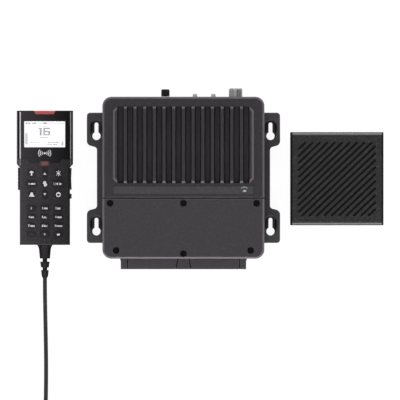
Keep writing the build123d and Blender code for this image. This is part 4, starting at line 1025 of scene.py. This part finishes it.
# How far the shapes printed on each navigation key sit from its middle in millimetres, and what draws them.
ICONS = {
    "key_scan": ((0.3, 0.1), mushroom),
    "key_up": ((0.2, -0.7), lambda: [arrow(1.75, 0, 0, wide=1.3)]),
    "key_light": ((0.6, 0.0), sun),
    "key_menu": ((1.1, 0.0), lambda: [arrow(1.3, -3.9, 0, QUARTER),
                                      word("MENU", 2.2 * MM, (1.1 * MM, -0.8 * MM), bold=0.12 * MM)]),
    "key_select": ((0.3, 0.1), handset_sign),
    "key_exit": ((0.3, 0.0), lambda: [arrow(1.9, -1.1, 0, QUARTER), arrow(1.9, 2.5, 0, -QUARTER),
                                      ring(1.5 * MM, 1.25 * MM, (-4.6 * MM, 0))]),
    "key_call": ((0.4, 0.0), lambda: [disc(1.8, 0, 0.8), arrow(3.7, 0, -0.4), block(-3.3, -2.6, 3.3, -1.5)]),
    "key_down": ((0.2, 0.7), lambda: [arrow(1.75, 0, 0, math.pi, wide=1.25)]),
    "key_home": ((0.5, 0.1), lambda: [ring(2.9 * MM, 1.75 * MM, (0, -0.2 * MM)),
                                      arrow(1.6, 0, 1.7, wide=1.7)]),
}
# The width of a letter, and how far its foot is below the key's middle, as shares of the type size.
LETTER_WIDE, LETTER_FOOT = 0.62, 0.36
KEYPAD_LETTERS = dict(zip("23456789", ("ABC", "DEF", "GHI", "JKL", "MNO", "PQRS", "TUV", "WXYZ")))


class RADIO_OT_key_legends(Operator):
    """Print the digits, letters and symbols on the keys, each riding on its own key"""

    bl_idname = "radio.key_legends"
    bl_label = "Key legends"

    def execute(self, context):
        size = context.scene.radio_printing
        for key, (shift, draw) in ICONS.items():
            self.legend(size, key, merged, draw(), "print_white", shift)
        for digit in "1234567890":
            self.legend(size, f"key_{digit}", None, self.digit(size, digit), "print_keypad", (0.0, 0.0))
        star = word("*", 0.8 * size.digit, (0, -1.2 * MM))
        self.legend(size, "key_star", None, [star], "print_dark", (0.0, 0.0))
        sharp = word("#", 0.85 * size.digit, (0, -1.0 * MM), bold=0.16 * MM, wide=1.75)
        self.legend(size, "key_hash", None, [sharp], "print_white", (0.6, 0.0))
        return {"FINISHED"}

    def legend(self, size, key, after, faces, finish, shift):
        """One key's printing, on top of the key."""
        middle, top = middle_of(key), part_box(key)[1].z
        at = (middle.x + shift[0] * MM, middle.y + shift[1] * MM)
        piece = raised(faces, f"legend_{key[4:]}", top, size.thickness, at)
        put(after(piece) if after else piece, finish, key)

    def digit(self, size, digit):
        """The digit, with its letters close beside it, centred together."""
        letters = KEYPAD_LETTERS.get(digit)
        low = -LETTER_FOOT * size.digit
        if not letters:
            return [word(digit, size.digit, (0, low), bold=0.5 * size.bold)]
        wide = LETTER_WIDE * size.letters * len(letters)
        start = -(LETTER_WIDE * size.digit + wide) / 2
        return [
            word(digit, size.digit, (start, low), "LEFT", 0.5 * size.bold),
            word(letters, size.letters, (start + LETTER_WIDE * size.digit, low), "LEFT", size.bold),
        ]


# Heights of the level bars' first foot and head, and the distance from bar to bar, in millimetres.
BAR_FOOT, BAR_HEAD, BAR_PITCH = -11.8, -11.2, 1.12
# Corners of the flat marks on the display in millimetres from its middle: x0, y0, x1, y1.
CHANNEL_MARKS = (
    (-5.9, -1.2, -3.7, 7.7), (-7.3, 6.2, -5.9, 7.7), (-1.5, 6.2, 6.3, 7.7), (-1.5, 0.2, 0.3, 6.2),
    (0.3, 2.5, 6.3, 3.9), (4.5, 0.2, 6.3, 2.5), (-1.5, -1.2, 6.3, 0.2),
)
SIGN_MARKS = (
    (-23.0, 12.6, -20.8, 14.2), (-20.2, 12.7, -17.3, 14.0), (-15.6, 12.8, -14.0, 13.9),
    (-13.4, 12.6, -10.2, 14.1), (-6.8, 13.2, -2.0, 13.5), (-1.6, 12.5, 2.4, 14.1), (2.8, 13.2, 24.0, 13.5),
    (-2.2, 9.0, 4.6, 9.3), (-5.9, -4.1, 4.4, -3.5), (-17.9, -9.9, -6.6, -9.5), (20.0, -13.2, 22.4, -12.5),
    (20.0, -12.1, 22.4, -11.5), (20.0, -11.1, 22.4, -10.5), (20.4, -10.1, 22.4, -9.5),
    (21.0, -9.1, 22.4, -8.5), (3.6, -12.9, 4.6, -11.7), (5.4, -12.8, 9.0, -12.2), (10.2, -12.9, 15.0, -12.1),
    (3.6, -10.2, 7.2, -9.2), (7.8, -10.1, 12.0, -9.3), (12.5, -10.2, 17.0, -9.2),
)


class RADIO_OT_display_figures(Operator):
    """Lay the channel number, the bars and the small signs under the display's pane"""

    bl_idname = "radio.display_figures"
    bl_label = "Display figures"

    def execute(self, context):
        ink = context.scene.radio_printing.thickness
        middle, top = middle_of("lcd_module"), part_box("lcd_module")[1].z
        levels = [(-23.6, BAR_FOOT + BAR_PITCH * k, -20.4, BAR_HEAD + BAR_PITCH * k) for k in range(12)]
        for name, marks in (("display_channel", CHANNEL_MARKS), ("display_signs", (*SIGN_MARKS, *levels))):
            piece = raised([block(*mark) for mark in marks], name, top + 0.02 * MM, ink, middle)
            put(piece, "display_ink", "handset")
        return {"FINISHED"}


# Half the height of each wave as a share of its radius.
WAVE_SPREAD = 0.52


class RADIO_OT_wave_sign(Operator):
    """Print a plain radio-wave sign under the display"""

    bl_idname = "radio.wave_sign"
    bl_label = "Radio-wave sign"

    def execute(self, context):
        parts = [disc(1.2)]
        for r in (3.4, 5.6, 7.8):
            wave = ring(r * MM, (r - 1.0) * MM, (0, 0), 48)
            parts.append(trim(wave, -WAVE_SPREAD * r * MM, WAVE_SPREAD * r * MM))
        size = context.scene.radio_printing
        sign = raised(parts, "wave_sign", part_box("display_bezel")[1].z, size.thickness,
                      (middle_of("display_bezel").x, size.wave_y))
        put(sign, "print_white", "handset")
        return {"FINISHED"}


# Radius of the bezel's crowned front, which the lines follow.
CROWN_RADIUS = 460.0 * MM


class RADIO_OT_bezel_painted_highlights(Operator):
    """Lay a light strip along each side of the display's surround, a painted highlight for the shine on its
    shoulders
    """

    bl_idname = "radio.bezel_lines"
    bl_label = "Bezel side lines"

    def execute(self, context):
        size = context.scene.radio_printing
        middle, top_z = middle_of("display_bezel").x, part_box("display_bezel")[1].z
        for side, x in (("left", -size.line_left), ("right", size.line_right)):
            z = top_z - x * x / (2 * CROWN_RADIUS) - 0.08 * MM
            # On each side a painted highlight strip on the bezel, and a dimmer one on the shell below it.
            for finish, top, low in (("bezel_painted_highlight", size.line_top, size.line_end),
                                     ("shell_painted_highlight", size.line_end, size.line_low)):
                line = raised([bar(size.line_wide, top - low, (0.0, 0.0))], f"{finish}_{side}", z, 0.3 * MM,
                              (middle + x, (top + low) / 2))
                put(rounded(line, 0.12 * MM), finish, "handset")
        return {"FINISHED"}


# ---------------------------------------------------------------- speaker details
class RADIO_OT_speaker_scrim(Operator):
    """Stretch the scrim cloth behind the speaker's slots"""

    bl_idname = "radio.speaker_scrim"
    bl_label = "Speaker scrim"

    def execute(self, context):
        size = context.scene.radio_speaker
        middle = middle_of("speaker_grille")
        cloth = raised([bar(size.scrim, size.scrim, (0.0, 0.0))], "speaker_scrim", size.scrim_z, 0.35 * MM,
                       (middle.x, middle.y))
        put(rounded(cloth, 0.1 * MM), "scrim_cloth", "speaker")
        return {"FINISHED"}


# ---------------------------------------------------------------- stage
def floor_finish():
    """A pale floor that the camera, mirrors and glass see as white, with its shadows kept."""
    material, tree, shader = new_finish("studio_floor", Roughness=0.9, Specular_IOR_Level=0.0)
    fleck = placed(tree, "surface_grain", Grains_per_metre=300.0, Drift_per_metre=1.2)
    wired(tree, shader, Base_Color=mixed(tree, fleck.outputs["Tone"], (0.80, 0.80, 0.80, 1.0),
                                         (0.82, 0.82, 0.82, 1.0)))
    seen = add(tree, "ShaderNodeBsdfDiffuse", {"Color": (0.16, 0.16, 0.16, 1.0)})
    fill = add(tree, "ShaderNodeEmission", {"Color": (1.0, 1.0, 1.0, 1.0), "Strength": 0.93})
    both = add(tree, "ShaderNodeAddShader", {0: seen.outputs[0], 1: fill.outputs[0]})
    ends = {1: shader.outputs[0], 2: both.outputs[0]}
    choose = add(tree, "ShaderNodeMixShader", {0: looked_at(tree), **ends})
    tree.links.new(choose.outputs[0], tree.nodes["Material Output"].inputs["Surface"])
    return material


FLOOR_DROP = 0.05 * MM
# Angles in degrees: azimuth round the set, lean off the vertical. Distance and size are in metres.
HIGH_LAMP = {"azimuth": 255.0, "lean": 20.0, "distance": 5.0, "size": (1.0, 1.0)}
LOW_LAMP = {"lean": 76.0, "distance": 2.2, "size": (2.4, 0.6)}
# Where each low lamp stands, and its share of their power.
LOW_SIDES = {"left": (180.0, 0.75), "right": (0.0, 0.92), "top": (90.0, 1.28), "bottom": (270.0, 1.95)}


class RADIO_OT_stage(Operator):
    """Set up the floor, the even sky and the soft lamps"""

    bl_idname = "radio.stage"
    bl_label = "Stage"

    def execute(self, context):
        stage = context.scene.radio_stage
        clear_selection()
        bpy.ops.mesh.primitive_plane_add(size=stage.floor, location=(0, 0, -FLOOR_DROP))
        floor = context_object("studio_floor")
        floor.data.materials.append(floor_finish())
        self.sky(context, stage)
        self.lamp("high_lamp", stage.high, **HIGH_LAMP)
        for side, (azimuth, share) in LOW_SIDES.items():
            lamp = self.lamp(f"low_lamp_{side}", stage.low * share, azimuth, **LOW_LAMP)
            lamp.visible_glossy = False
        context.scene.view_settings.view_transform = "Standard"
        return {"FINISHED"}

    def sky(self, context, stage):
        """A dim even sky, white where the camera, mirrors and glass look at it."""
        world = context.scene.world or bpy.data.worlds.new("studio_sky")
        context.scene.world = world
        world.use_nodes = True
        tree = world.node_tree
        tree.nodes.clear()
        even, white = (
            add(tree, "ShaderNodeBackground", {"Color": (1, 1, 1, 1), "Strength": strength}).outputs[0]
            for strength in (stage.sky, 1.0)
        )
        mix = add(tree, "ShaderNodeMixShader", {0: looked_at(tree), 1: even, 2: white})
        add(tree, "ShaderNodeOutputWorld", {"Surface": mix.outputs[0]})

    def lamp(self, name, power, azimuth, lean, distance, size):
        """A soft rectangular lamp that looks at the set and isn't seen itself."""
        azimuth, lean = math.radians(azimuth), math.radians(lean)
        flat = distance * math.sin(lean)
        place = Vector((flat * math.cos(azimuth), flat * math.sin(azimuth), distance * math.cos(lean)))
        clear_selection()
        bpy.ops.object.light_add(type="AREA", location=place)
        lamp = context_object(name)
        lamp.data.shape = "RECTANGLE"
        lamp.data.size, lamp.data.size_y = size
        lamp.data.energy = power
        lamp.rotation_euler = (place - Vector((0.0, 0.0, 0.02))).to_track_quat("Z", "Y").to_euler()
        lamp.visible_camera = False
        return lamp


class RADIO_PT_panel(Panel):
    """Every step of dressing the set"""

    bl_idname = "RADIO_PT_panel"
    bl_label = "Marine VHF radio"
    bl_space_type = "VIEW_3D"
    bl_region_type = "UI"
    bl_category = "Radio"

    def draw(self, context):
        for group in GROUPS:
            box = self.layout.box()
            settings = getattr(context.scene, group)
            for key in settings.__annotations__:
                box.prop(settings, key)
        for step in STEPS:
            self.layout.operator(step.bl_idname)


# ---------------------------------------------------------------- registration
GROUPS = {"radio_tints": RadioTints, "radio_printing": RadioPrinting, "radio_thread": RadioThread,
          "radio_speaker": RadioSpeaker, "radio_cord": RadioCord, "radio_stage": RadioStage}
STEPS = (RADIO_OT_camera, RADIO_OT_finishes, RADIO_OT_cord, RADIO_OT_label_film, RADIO_OT_socket_thread,
         RADIO_OT_key_legends, RADIO_OT_display_figures, RADIO_OT_wave_sign, RADIO_OT_bezel_painted_highlights,
         RADIO_OT_speaker_scrim, RADIO_OT_stage)


def register():
    """Registers the settings, the steps and the panel."""
    for cls in (*GROUPS.values(), *STEPS, RADIO_PT_panel):
        bpy.utils.register_class(cls)
    for name, group in GROUPS.items():
        setattr(bpy.types.Scene, name, PointerProperty(type=group))


def unregister():
    """Takes everything out again."""
    for name in GROUPS:
        delattr(bpy.types.Scene, name)
    for cls in reversed((*GROUPS.values(), *STEPS, RADIO_PT_panel)):
        bpy.utils.unregister_class(cls)


def main():
    """Runs every step in order."""
    register()
    for step in STEPS:
        group, name = step.bl_idname.split(".")
        getattr(getattr(bpy.ops, group), name)()


if __name__ == "__main__":
    main()
